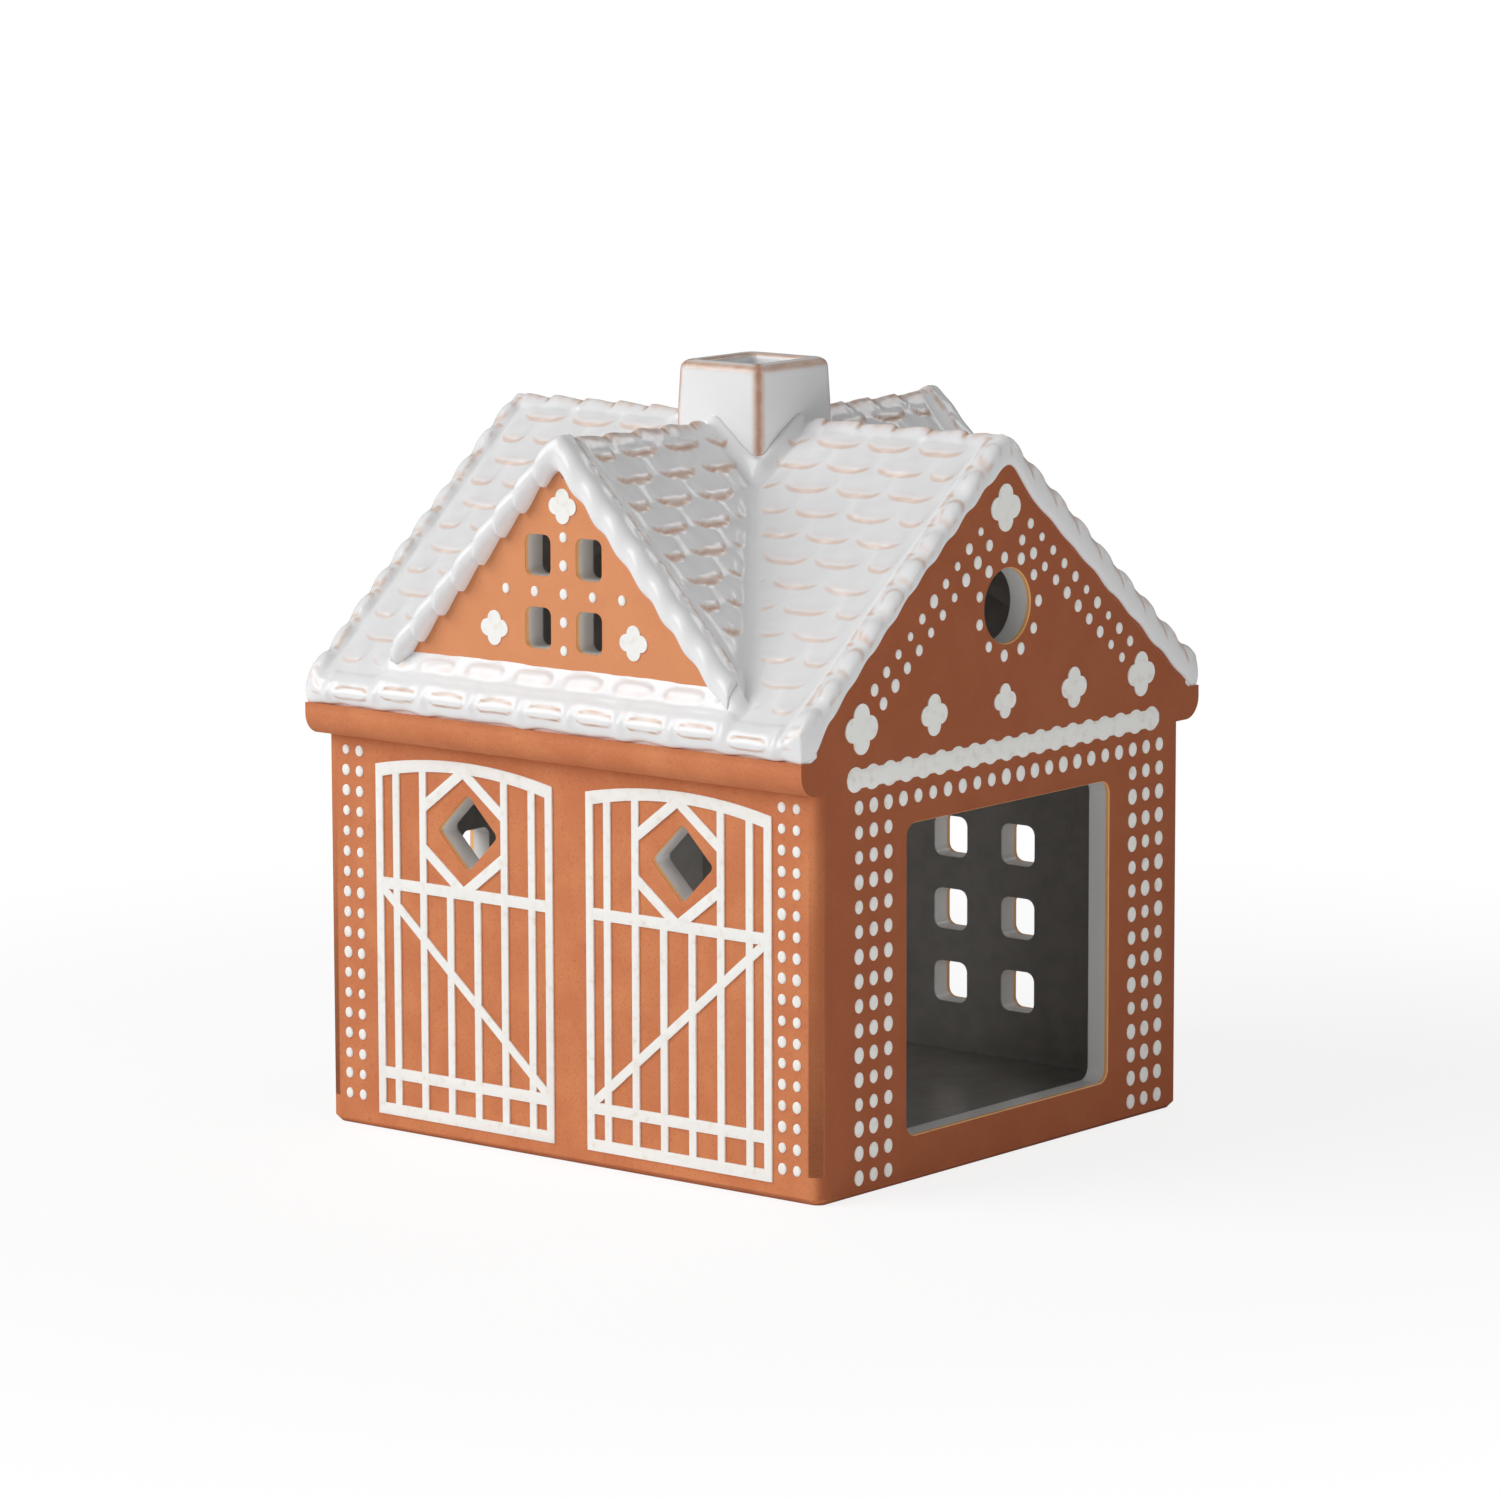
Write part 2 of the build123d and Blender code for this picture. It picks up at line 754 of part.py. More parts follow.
with BuildSketch() as door_strokes:
    with Locations((0, door_mid_rail), (0, door_low_rail)):
        Rectangle(door_width, door_rail)
    with Locations(*[(x, door_sill) for x in bar_places]):
        Rectangle(door_bar, brace_top - door_sill, align=(Align.CENTER, Align.MIN))
    with Locations(*[(x, brace_top) for x in upper_bar_places]):
        Rectangle(door_bar, door_side_top - brace_top, align=(Align.CENTER, Align.MIN))
    with Locations((0, (brace_top + brace_foot) / 2)):
        Rectangle(
            hypot(brace_run, brace_rise),
            door_brace,
            rotation=-degrees(atan2(brace_rise, brace_run)),
        )
    add(diamond_surround.sketch)
    add(door_outline.sketch, mode=Mode.INTERSECT)

left_door_plane = Plane(
    origin=(door_shift - door_spacing / 2, -half_depth, 0), x_dir=(1, 0, 0), z_dir=(0, -1, 0)
)
with BuildPart() as left_door_icing:
    with BuildSketch(left_door_plane):
        add(door_outline.sketch)
        add(door_field.sketch, mode=Mode.SUBTRACT)
        add(door_strokes.sketch)
    extrude(amount=icing_height)
right_door_icing = mirrored(left_door_icing.part, Plane.YZ.offset(door_shift))

# Columns of dots beside the doors, and the same on the rear wall
wall_dot_pitch = (wall_height - wall_dot_head_gap - wall_dot_bottom) / (wall_dot_rows - 1)
wall_columns = [
    side * (half_length - wall_dot_inset - column * wall_dot_column_pitch)
    for side in (-1, 1)
    for column in range(wall_dot_columns)
]
wall_dot_places = [
    (x, wall_dot_bottom + row * wall_dot_pitch) for x in wall_columns for row in range(wall_dot_rows)
]
front_wall_dots = dots_on(front_plane, wall_dot_places, wall_dot_radius)
rear_wall_dots = mirrored(front_wall_dots, Plane.XZ)

# Columns of dots beside the doorway, as many as its band takes, and a row that joins their tops
gable_band = half_depth - doorway_width / 2
gable_dot_columns = 1 + int(gable_dot_band_share * gable_band / gable_dot_column_pitch)
gable_dot_reach = half_depth - gable_dot_inset_share * gable_band
gable_dot_pitch = (wall_height - gable_dot_head_gap - gable_dot_bottom) / (gable_dot_rows - 1)
gable_columns = [
    gable_dot_shift + side * (gable_dot_reach - column * gable_dot_column_pitch)
    for side in (-1, 1)
    for column in range(gable_dot_columns)
]
gable_dot_places = [
    (y, gable_dot_bottom + row * gable_dot_pitch) for y in gable_columns for row in range(gable_dot_rows)
]
top_row_level = wall_height - gable_dot_head_gap
top_row_reach = gable_dot_reach - (gable_dot_columns - 1) * gable_dot_column_pitch
top_row_step = 2 * top_row_reach / (gable_dot_rows + 1)
gable_dot_places += [
    (gable_dot_shift - top_row_reach + (number + 1) * top_row_step, top_row_level)
    for number in range(gable_dot_rows)
]
right_gable_dots = dots_on(right_plane, gable_dot_places, gable_dot_radius)
left_gable_dots = mirrored(right_gable_dots, Plane.YZ)

# Scalloped garland: a bar with a round bead at every scallop
garland_reach = half_depth - garland_inset
garland_level = wall_height - garland_drop
with BuildPart() as right_gable_garland:
    with BuildSketch(right_plane):
        with Locations((0, garland_level)):
            Rectangle(2 * garland_reach, garland_bar)
            with GridLocations(2 * garland_reach / (garland_beads - 1), 0, garland_beads, 1):
                RegularPolygon(garland_bead_radius, bead_sides, rotation=180 / bead_sides)
    extrude(amount=icing_height)
left_gable_garland = mirrored(right_gable_garland.part, Plane.YZ)

# Two rows of dots along each rake, where they clear the ring round the attic window
window_ring_radius = round_window_radius + window_ring_gap
ring_keep_out = window_ring_radius + 2 * rake_dot_radius + window_ring_clearance
rake_dot_places = []
for start_share, drop_share in zip(rake_dot_start_shares, rake_dot_drop_shares):
    for number in range(rake_dot_count):
        from_middle = (start_share + number * rake_dot_pitch_share) * gable_rise
        level = main_ceiling - drop_share * gable_rise - main_drop * from_middle
        for side in (-1, 1):
            across = gable_peak_shift + side * from_middle
            if hypot(across, level - round_window_level) > ring_keep_out:
                rake_dot_places.append((across, level))
right_gable_rake_dots = dots_on(right_plane, rake_dot_places, rake_dot_radius)
left_gable_rake_dots = mirrored(right_gable_rake_dots, Plane.YZ)

ring_turn = 2 * pi / window_ring_count
ring_places = [
    (
        window_ring_radius * cos(number * ring_turn),
        round_window_level + window_ring_radius * sin(number * ring_turn),
    )
    for number in range(window_ring_count)
]
right_gable_window_ring = dots_on(right_plane, ring_places, rake_dot_radius)
left_gable_window_ring = mirrored(right_gable_window_ring, Plane.YZ)

# A row of quatrefoils above the garland and one at the peak
row_middle = (len(quatrefoil_sizes) - 1) / 2
row_pitch = quatrefoil_pitch_share * gable_rise
row_level = wall_height + quatrefoil_row_share * gable_rise
peak_level = wall_height + quatrefoil_peak_share * gable_rise
gable_flowers = [
    (gable_peak_shift + (number - row_middle) * row_pitch, row_level, size)
    for number, size in enumerate(quatrefoil_sizes)
]
gable_flowers.append((gable_peak_shift, peak_level, quatrefoil_peak_size))
right_gable_quatrefoils = quatrefoils_on(right_plane, gable_flowers)
left_gable_quatrefoils = mirrored(right_gable_quatrefoils, Plane.YZ)

# Dormer: a cross of dots between the windows and three quatrefoils
cross_pitch_x = dormer_dot_pitch_x_share * dormer_face_rise
cross_pitch_z = dormer_dot_pitch_z_share * dormer_face_rise
cross_steps = range(-dormer_cross_arm, dormer_cross_arm + 1)
dormer_dot_places = [(0, dormer_window_level + step * cross_pitch_z) for step in cross_steps]
dormer_dot_places += [
    (step * cross_pitch_x, dormer_window_level) for step in cross_steps if step != 0
]
flower_reach = dormer_quatrefoil_reach_share * dormer_face_rise
low_flower_level = sill_top + dormer_quatrefoil_low_share * dormer_face_rise
peak_flower_level = sill_top + dormer_quatrefoil_peak_share * dormer_face_rise
dormer_flowers = [
    (0, peak_flower_level, dormer_quatrefoil_size),
    (-flower_reach, low_flower_level, dormer_quatrefoil_size),
    (flower_reach, low_flower_level, dormer_quatrefoil_size),
]
dormer_dots = dots_on(front_plane, dormer_dot_places, dormer_dot_radius)
dormer_quatrefoils = quatrefoils_on(front_plane, dormer_flowers)
with BuildPart() as front_dormer_icing:
    add(dormer_dots)
    add(dormer_quatrefoils)
rear_dormer_icing = mirrored(front_dormer_icing.part, Plane.XZ)

pieces = {
    "floor_slab": floor_slab.part,
    "front_wall": front_wall.part,
    "rear_wall": rear_wall.part,
    "left_gable": left_gable.part,
    "right_gable": right_gable.part,
    "front_cornice": front_cornice.part,
    "rear_cornice": rear_cornice,
    "front_dormer_wall": front_dormer_wall.part,
    "rear_dormer_wall": rear_dormer_wall,
    "front_roof": front_roof.part,
    "rear_roof": rear_roof,
    "front_dormer_roof_right": front_dormer_roof_right.part,
    "front_dormer_roof_left": front_dormer_roof_left,
    "rear_dormer_roof_right": rear_dormer_roof_right,
    "rear_dormer_roof_left": rear_dormer_roof_left,
    "right_ridge_caps": right_ridge_caps,
    "left_ridge_caps": left_ridge_caps,
    "front_ridge_caps": front_ridge_caps,
    "rear_ridge_caps": rear_ridge_caps,
    "right_gable_front_rake": right_gable_front_rake,
    "right_gable_rear_rake": right_gable_rear_rake,
    "left_gable_front_rake": left_gable_front_rake,
    "left_gable_rear_rake": left_gable_rear_rake,
    "front_dormer_right_rake": front_dormer_right_rake.part,
    "front_dormer_left_rake": front_dormer_left_rake,
    "rear_dormer_right_rake": rear_dormer_right_rake,
    "rear_dormer_left_rake": rear_dormer_left_rake,
    "front_dormer_sill": front_dormer_sill.part,
    "rear_dormer_sill": rear_dormer_sill,
    "front_eave_drips": front_eave_drips.part,
    "rear_eave_drips": rear_eave_drips,
    "chimney": chimney.part,
    "left_door_icing": left_door_icing.part,
    "right_door_icing": right_door_icing,
    "front_wall_dots": front_wall_dots,
    "rear_wall_dots": rear_wall_dots,
    "right_gable_dots": right_gable_dots,
    "left_gable_dots": left_gable_dots,
    "right_gable_garland": right_gable_garland.part,
    "left_gable_garland": left_gable_garland,
    "right_gable_rake_dots": right_gable_rake_dots,
    "left_gable_rake_dots": left_gable_rake_dots,
    "right_gable_window_ring": right_gable_window_ring,
    "left_gable_window_ring": left_gable_window_ring,
    "right_gable_quatrefoils": right_gable_quatrefoils,
    "left_gable_quatrefoils": left_gable_quatrefoils,
    "front_dormer_icing": front_dormer_icing.part,
    "rear_dormer_icing": rear_dormer_icing,
}

os.makedirs("parts", exist_ok=True)
for name, piece in pieces.items():
    piece.label = name
    export_step(piece, f"parts/{name}.step")
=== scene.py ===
"""Looks of a ceramic tealight house: a fired clay house with a glazed roof and slip ornament."""

import logging
import math
from dataclasses import dataclass, field
from enum import Enum
from functools import partial
from typing import Any, Callable, ClassVar, Iterable, Sequence

import bpy
import numpy as np
from mathutils import Matrix, Vector

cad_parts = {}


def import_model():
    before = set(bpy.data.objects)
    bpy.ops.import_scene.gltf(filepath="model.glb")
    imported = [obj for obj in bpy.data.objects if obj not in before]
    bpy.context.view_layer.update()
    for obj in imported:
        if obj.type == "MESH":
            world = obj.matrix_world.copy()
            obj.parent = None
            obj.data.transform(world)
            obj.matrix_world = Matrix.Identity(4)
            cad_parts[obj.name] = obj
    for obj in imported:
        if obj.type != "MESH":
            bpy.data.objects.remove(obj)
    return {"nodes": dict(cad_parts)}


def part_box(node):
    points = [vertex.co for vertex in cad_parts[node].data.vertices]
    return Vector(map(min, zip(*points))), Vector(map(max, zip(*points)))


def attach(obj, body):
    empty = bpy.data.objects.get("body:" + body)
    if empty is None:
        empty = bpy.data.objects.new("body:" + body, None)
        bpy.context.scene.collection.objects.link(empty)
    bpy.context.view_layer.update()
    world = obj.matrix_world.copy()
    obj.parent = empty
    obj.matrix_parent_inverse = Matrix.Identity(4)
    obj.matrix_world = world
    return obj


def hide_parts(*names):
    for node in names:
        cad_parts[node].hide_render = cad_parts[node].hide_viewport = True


logging.basicConfig(level=logging.INFO, format="%(relativeCreated)6.0f ms  %(message)s")
log = logging.getLogger("tealight_house")

MM = 0.001
BODY = "root"
HALF_LENGTH = 60.0  # outer faces of the gables, in millimetres from the middle of the house
HALF_DEPTH = 55.6  # outer faces of the front and rear wall
WALL = 5.0
QUARTER = math.radians(90)
Array = np.ndarray

# Settings that many nodes share
SMOOTH = {"interpolation_type": "SMOOTHSTEP"}
RGBA = {"data_type": "RGBA"}


class Slot(Enum):
    """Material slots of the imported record."""

    CLAY = "terracotta_clay"
    GLAZE = "white_glaze"
    SLIP = "white_slip"


class Side(Enum):
    """Front or rear half of the house, as the sign of Y."""

    FRONT = -1
    REAR = 1


# Small tools


def linear(code: str) -> tuple[float, float, float, float]:
    """Turn an sRGB hex colour into a linear colour.

    Args:
        code: six hex digits.

    Returns:
        Red, green, blue and alpha.
    """
    values = [int(code[i : i + 2], 16) / 255 for i in (0, 2, 4)]
    turned = [v / 12.92 if v <= 0.04045 else ((v + 0.055) / 1.055) ** 2.4 for v in values]
    return (turned[0], turned[1], turned[2], 1.0)


def add_node(
    tree: bpy.types.NodeTree, kind: str, inputs: dict[Any, Any] | Sequence[Any] = (), **settings: Any
) -> bpy.types.Node:
    """Add a shader node with its settings, values and links.

    Args:
        tree: the node tree.
        kind: the node's type name after "ShaderNode".
        inputs: for each named or numbered input a value, a hex colour, a socket to link from,
            or a node, whose first enabled output is linked.
        settings: properties of the node.

    Returns:
        The new node.
    """
    node = tree.nodes.new(f"ShaderNode{kind}")
    for name, value in settings.items():
        setattr(node, name, value)
    for key, value in (inputs if isinstance(inputs, dict) else dict(enumerate(inputs))).items():
        if isinstance(value, bpy.types.Node):
            value = next(socket for socket in value.outputs if socket.enabled)
        if isinstance(value, bpy.types.NodeSocket):
            tree.links.new(value, node.inputs[key])
        else:
            node.inputs[key].default_value = linear(value) if isinstance(value, str) else value
    return node


def deselect() -> None:
    """Deselect every object."""
    bpy.ops.object.select_all(action="DESELECT")


def activate(piece: bpy.types.Object) -> None:
    """Select one object alone and make it active.

    Args:
        piece: the object.
    """
    deselect()
    piece.select_set(True)
    bpy.context.view_layer.objects.active = piece


def edit(level: str) -> None:
    """Enter edit mode on the active object, selecting by VERT, EDGE or FACE."""
    bpy.context.tool_settings.mesh_select_mode = [level == name for name in ("VERT", "EDGE", "FACE")]
    bpy.ops.object.mode_set(mode="EDIT")


def leave() -> None:
    """Go back to object mode, with vertices as what is selected next."""
    bpy.ops.mesh.select_mode(type="VERT")
    bpy.ops.object.mode_set(mode="OBJECT")


def rework(piece: bpy.types.Object, *steps: Callable[[], Any]) -> None:
    """Run mesh operators one after another on the whole of a piece.

    Args:
        piece: the piece.
        steps: the operators, with their settings bound.
    """
    activate(piece)
    bpy.ops.object.mode_set(mode="EDIT")
    bpy.ops.mesh.select_all(action="SELECT")
    for step in steps:
        step()
    bpy.ops.object.mode_set(mode="OBJECT")


def extrude_rings(piece: bpy.types.Object, rings: Iterable[Any], place: Callable[[Any], None]) -> None:
    """Extrude the edges of a piece again and again, moving each new ring to its place.

    Args:
        piece: the piece, of edges alone.
        rings: what tells the place of each ring.
        place: takes it and moves the selected ring.
    """
    activate(piece)
    edit("EDGE")
    bpy.ops.mesh.select_all(action="SELECT")
    for ring in rings:
        bpy.ops.mesh.extrude_edges_indiv()
        bpy.ops.object.mode_set(mode="OBJECT")
        place(ring)
        edit("EDGE")
    leave()


def join(pieces: Sequence[bpy.types.Object], name: str) -> bpy.types.Object:
    """Join pieces into one.

    Args:
        pieces: the pieces; the first takes up the others.
        name: name of the joined piece.

    Returns:
        The joined piece.
    """
    activate(pieces[0])
    for piece in pieces:
        piece.select_set(True)
    if len(pieces) > 1:
        bpy.ops.object.join()
    pieces[0].name = name
    return pieces[0]


def read(collection: Any, name: str, kind: type = np.float32, size: int = 1) -> Array:
    """Read one property of every member of a collection.

    Args:
        collection: vertices, faces or attribute data.
        name: the property's name.
        kind: type of its numbers.
        size: how many numbers each member has.

    Returns:
        The numbers, a row for each member where it has several.
    """
    flat = np.empty(len(collection) * size, kind)
    collection.foreach_get(name, flat)
    return flat.reshape(-1, size) if size > 1 else flat


def coordinates(mesh: bpy.types.Mesh) -> Array:
    """Vertex coordinates of a mesh in millimetres."""
    return read(mesh.vertices, "co", size=3).astype(float) / MM


def set_coordinates(mesh: bpy.types.Mesh, places: Array) -> None:
    """Write vertex coordinates in millimetres to a mesh."""
    mesh.vertices.foreach_set("co", (places * MM).astype(np.float32).ravel())
    mesh.update()


def select_edges(mesh: bpy.types.Mesh, test: Callable[[Vector, Vector], bool]) -> int:
    """Select the edges whose two ends pass a test.

    Args:
        mesh: the mesh, in object mode.
        test: takes both ends in millimetres.

    Returns:
        How many edges are selected.
    """
    places = coordinates(mesh)
    mesh.vertices.foreach_set("select", np.zeros(len(mesh.vertices), bool))
    mesh.polygons.foreach_set("select", np.zeros(len(mesh.polygons), bool))
    count = 0
    for edge in mesh.edges:
        first, second = (Vector(places[i]) for i in edge.vertices)
        edge.select = test(first, second)
        count += edge.select
    return count


def bevel_edges(
    piece: bpy.types.Object, test: Callable[[Vector, Vector], bool], width: float, segments: int
) -> bool:
    """Round the edges of a piece whose two ends pass a test.

    Args:
        piece: the piece.
        test: takes both ends in millimetres.
        width: how far the rounding reaches, in millimetres.
        segments: how many steps round the edge.

    Returns:
        Whether there were any.
    """
    if not select_edges(piece.data, test):
        return False
    activate(piece)
    edit("EDGE")
    bpy.ops.mesh.bevel(offset=width * MM, segments=segments, affect="EDGES", clamp_overlap=True)
    leave()
    return True


def cad_copy(node: str, name: str) -> bpy.types.Object:
    """Copy a CAD node as a new piece with merged vertices and clean flat faces.

    Args:
        node: the CAD node's name.
        name: the new piece's name.

    Returns:
        The new piece.
    """
    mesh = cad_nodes[node].data.copy()
    mesh.materials.clear()
    piece = bpy.data.objects.new(name, mesh)
    bpy.context.scene.collection.objects.link(piece)
    merge = partial(bpy.ops.mesh.remove_doubles, threshold=0.01 * MM)
    rework(piece, merge, partial(bpy.ops.mesh.dissolve_limited, angle_limit=math.radians(1)))
    return piece


def smooth(piece: bpy.types.Object, angle: float, weighted: bool = False) -> None:
    """Shade a piece smooth, but for sharp edges.

    Args:
        piece: the piece.
        angle: edges sharper than this stay sharp, in degrees.
        weighted: whether large flat faces keep their own normal.
    """
    activate(piece)
    bpy.ops.object.shade_smooth_by_angle(angle=math.radians(angle))
    if weighted:
        normals = piece.modifiers.new("flat_faces", "WEIGHTED_NORMAL")
        normals.weight = 100
        normals.keep_sharp = True
        bpy.ops.object.modifier_apply(modifier=normals.name)


def islands(node: str) -> list[tuple[Array, Array]]:
    """Boxes of the separate lumps of a CAD node.

    Args:
        node: the CAD node's name.

    Returns:
        The lowest and highest corner of each lump, in millimetres, in a fixed order.
    """
    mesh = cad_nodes[node].data
    keys, inverse = np.unique(np.round(coordinates(mesh), 2), axis=0, return_inverse=True)
    ends = read(mesh.edges, "vertices", np.int32, 2)
    first, second = inverse.ravel()[ends].T
    label = np.arange(len(keys))
    while True:
        low = np.minimum(label[first], label[second])
        fresh = label.copy()
        np.minimum.at(fresh, first, low)
        np.minimum.at(fresh, second, low)
        fresh = fresh[fresh]
        if (fresh == label).all():
            break
        label = fresh
    boxes = [(keys[label == v].min(0), keys[label == v].max(0)) for v in np.unique(label)]
    return sorted(boxes, key=lambda box: tuple(np.round(box[0] + box[1], 1)))


def dress(piece: bpy.types.Object, finish: bpy.types.Material, nodes: Sequence[str]) -> None:
    """Give a finished piece its material and its place in the frame.

    Args:
        piece: the piece.
        finish: its material.
        nodes: CAD nodes that it stands for.
    """
    if finish.name not in [m.name for m in piece.data.materials if m]:
        piece.data.materials.append(finish)
    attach(piece, BODY)
    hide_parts(*nodes)
    log.info("%s: %d faces, stands for %s", piece.name, len(piece.data.polygons), ", ".join(nodes))


def smoothstep(value: Array) -> Array:
    """Smooth rise from 0 to 1 over the unit range."""
    value = np.clip(value, 0, 1)
    return value * value * (3 - 2 * value)


def climb(value: Array, start: float, width: float) -> Array:
    """Smooth rise from 0 at the start to 1 a width further on."""
    return smoothstep((value - start) / width)


def fade(value: Array, end: float, width: float) -> Array:
    """Smooth fall from 1 to 0 over a width before the end."""
    return smoothstep((end - value) / width)


def bell(value: Array, width: float, centre: float = 0.0) -> Array:
    """Bell curve of height 1 that has fallen to a third a width from its centre."""
    return np.exp(-(((value - centre) / width) ** 2))


def mark_gable_shade(mesh: bpy.types.Mesh) -> None:
    """Store how far the surface faces along the main ridge, as the attribute "gable": the mask of the
    painted shade on the gables.
    """
    facing = climb(np.abs(read(mesh.corner_normals, "vector", size=3)[:, 0]), 0.3, 0.65)
    mesh.attributes.new("gable", "FLOAT", "CORNER").data.foreach_set("value", facing.astype(np.float32))


def waver(along: Array, seed: int, lengths: Sequence[float]) -> Array:
    """Gentle hand-made unevenness between about -1 and 1.

    Args:
        along: distance along the line in millimetres.
        seed: picks the phases.
        lengths: wave lengths in millimetres.

    Returns:
        The unevenness at each place.
    """
    dice = np.random.default_rng(seed)
    total = np.zeros_like(np.asarray(along, float))
    for length in lengths:
        total += np.sin(2 * math.pi * along / length + dice.uniform(0, 2 * math.pi))
    return total / len(lengths)


# Finishes


@dataclass(frozen=True)
class Finish:
    """A finish whose pattern is laid by Object coordinates."""

    name: ClassVar[str]

    def surface(self, tree: bpy.types.NodeTree, where: bpy.types.NodeSocket) -> bpy.types.Node:
        """Build the nodes of the finish.

        Args:
            tree: the material's node tree.
            where: Object coordinates.

        Returns:
            The last shader.
        """
        raise NotImplementedError

    def make(self) -> bpy.types.Material:
        """Build the material.

        Returns:
            The material.
        """
        material = bpy.data.materials.new(self.name)
        material.use_nodes = True
        tree = material.node_tree
        tree.nodes.clear()
        where = add_node(tree, "TexCoord").outputs["Object"]
        add_node(tree, "OutputMaterial", {"Surface": self.surface(tree, where)})
        return material


@dataclass(frozen=True)
class WhiteGlaze(Finish):
    """Thick tin-white earthenware glaze, poured over the roof and fired glossy.

    The eye sees a cool white that pools smooth in hollows and breaks to pinkish brown where it
    runs thin over edges. How thin it is comes from the "thin" attribute of the mesh.
    """

    name: ClassVar[str] = "white_tin_glaze"
    white: str = "EDEDEE"
    blush: str = "DFCBBF"
    brown: str = "B98A70"
    gloss: float = 0.16  # roughness where the glaze is thick
    matt: float = 0.4  # roughness where it has run thin
    speckle_mm: float = 2.4
    speckle: tuple[float, float] = (0.82, 1.08)  # how unevenly the breaks are coloured
    blush_limits: tuple[float, float] = (0.02, 0.45)  # thinness where the blush starts and is full
    brown_limits: tuple[float, float] = (0.35, 1.0)
    peel_mm: float = 3.5

    def surface(self, tree: bpy.types.NodeTree, where: bpy.types.NodeSocket) -> bpy.types.Node:
        """Build the nodes of the finish.

        Args:
            tree: the material's node tree.
            where: Object coordinates.

        Returns:
            The last shader.
        """
        thin = add_node(tree, "Attribute", attribute_name="thin").outputs["Fac"]
        speckle, peel = (
            add_node(tree, "TexNoise", {"Vector": where, "Scale": 1 / (size * MM), "Detail": detail})
            for size, detail in ((self.speckle_mm, 3.0), (self.peel_mm, 2.0))
        )
        patchy = add_node(tree, "MapRange", [speckle, 0.25, 0.75, *self.speckle], **SMOOTH)
        uneven = add_node(tree, "Math", [thin, patchy], operation="MULTIPLY")
        colour = self.white
        for tint, limits in ((self.blush, self.blush_limits), (self.brown, self.brown_limits)):
            share = add_node(tree, "MapRange", [uneven, *limits], **SMOOTH)
            colour = add_node(tree, "Mix", {0: share, 6: colour, 7: tint}, **RGBA)
        inputs = {
            "Base Color": colour,
            "Roughness": add_node(tree, "MapRange", [uneven, 0.2, 1.0, self.gloss, self.matt], **SMOOTH),
            "IOR": 1.5,
            "Specular IOR Level": 0.4,
            "Normal": add_node(tree, "Bump", {"Height": peel, "Strength": 0.25, "Distance": 0.25 * MM}),
        }
        return add_node(tree, "BsdfPrincipled", inputs)


@dataclass(frozen=True)
class WhiteSlip(Finish):
    """White clay slip, trailed from a bulb on the leather-hard clay and left unglazed.

    The eye sees a soft matt white, faintly uneven, a little warmer where it is thin.
    """

    name: ClassVar[str] = "white_trailed_slip"
    white: str = "F4F4F0"
    warm: str = "E6DDD2"
    cloud_mm: float = 2.0
    roughness: float = 0.5

    def surface(self, tree: bpy.types.NodeTree, where: bpy.types.NodeSocket) -> bpy.types.Node:
        """Build the nodes of the finish.

        Args:
            tree: the material's node tree.
            where: Object coordinates.

        Returns:
            The last shader.
        """
        inputs = {"Vector": where, "Scale": 1 / (self.cloud_mm * MM), "Detail": 3.0}
        cloud = add_node(tree, "TexNoise", inputs)
        share = add_node(tree, "MapRange", [cloud, 0.5, 0.85], **SMOOTH)
        inputs = {
            "Base Color": add_node(tree, "Mix", {0: share, 6: self.white, 7: self.warm}, **RGBA),
            "Roughness": self.roughness,
            "IOR": 1.45,
            "Normal": add_node(tree, "Bump", {"Height": cloud, "Strength": 0.2, "Distance": 0.1 * MM}),
        }
        return add_node(tree, "BsdfPrincipled", inputs)


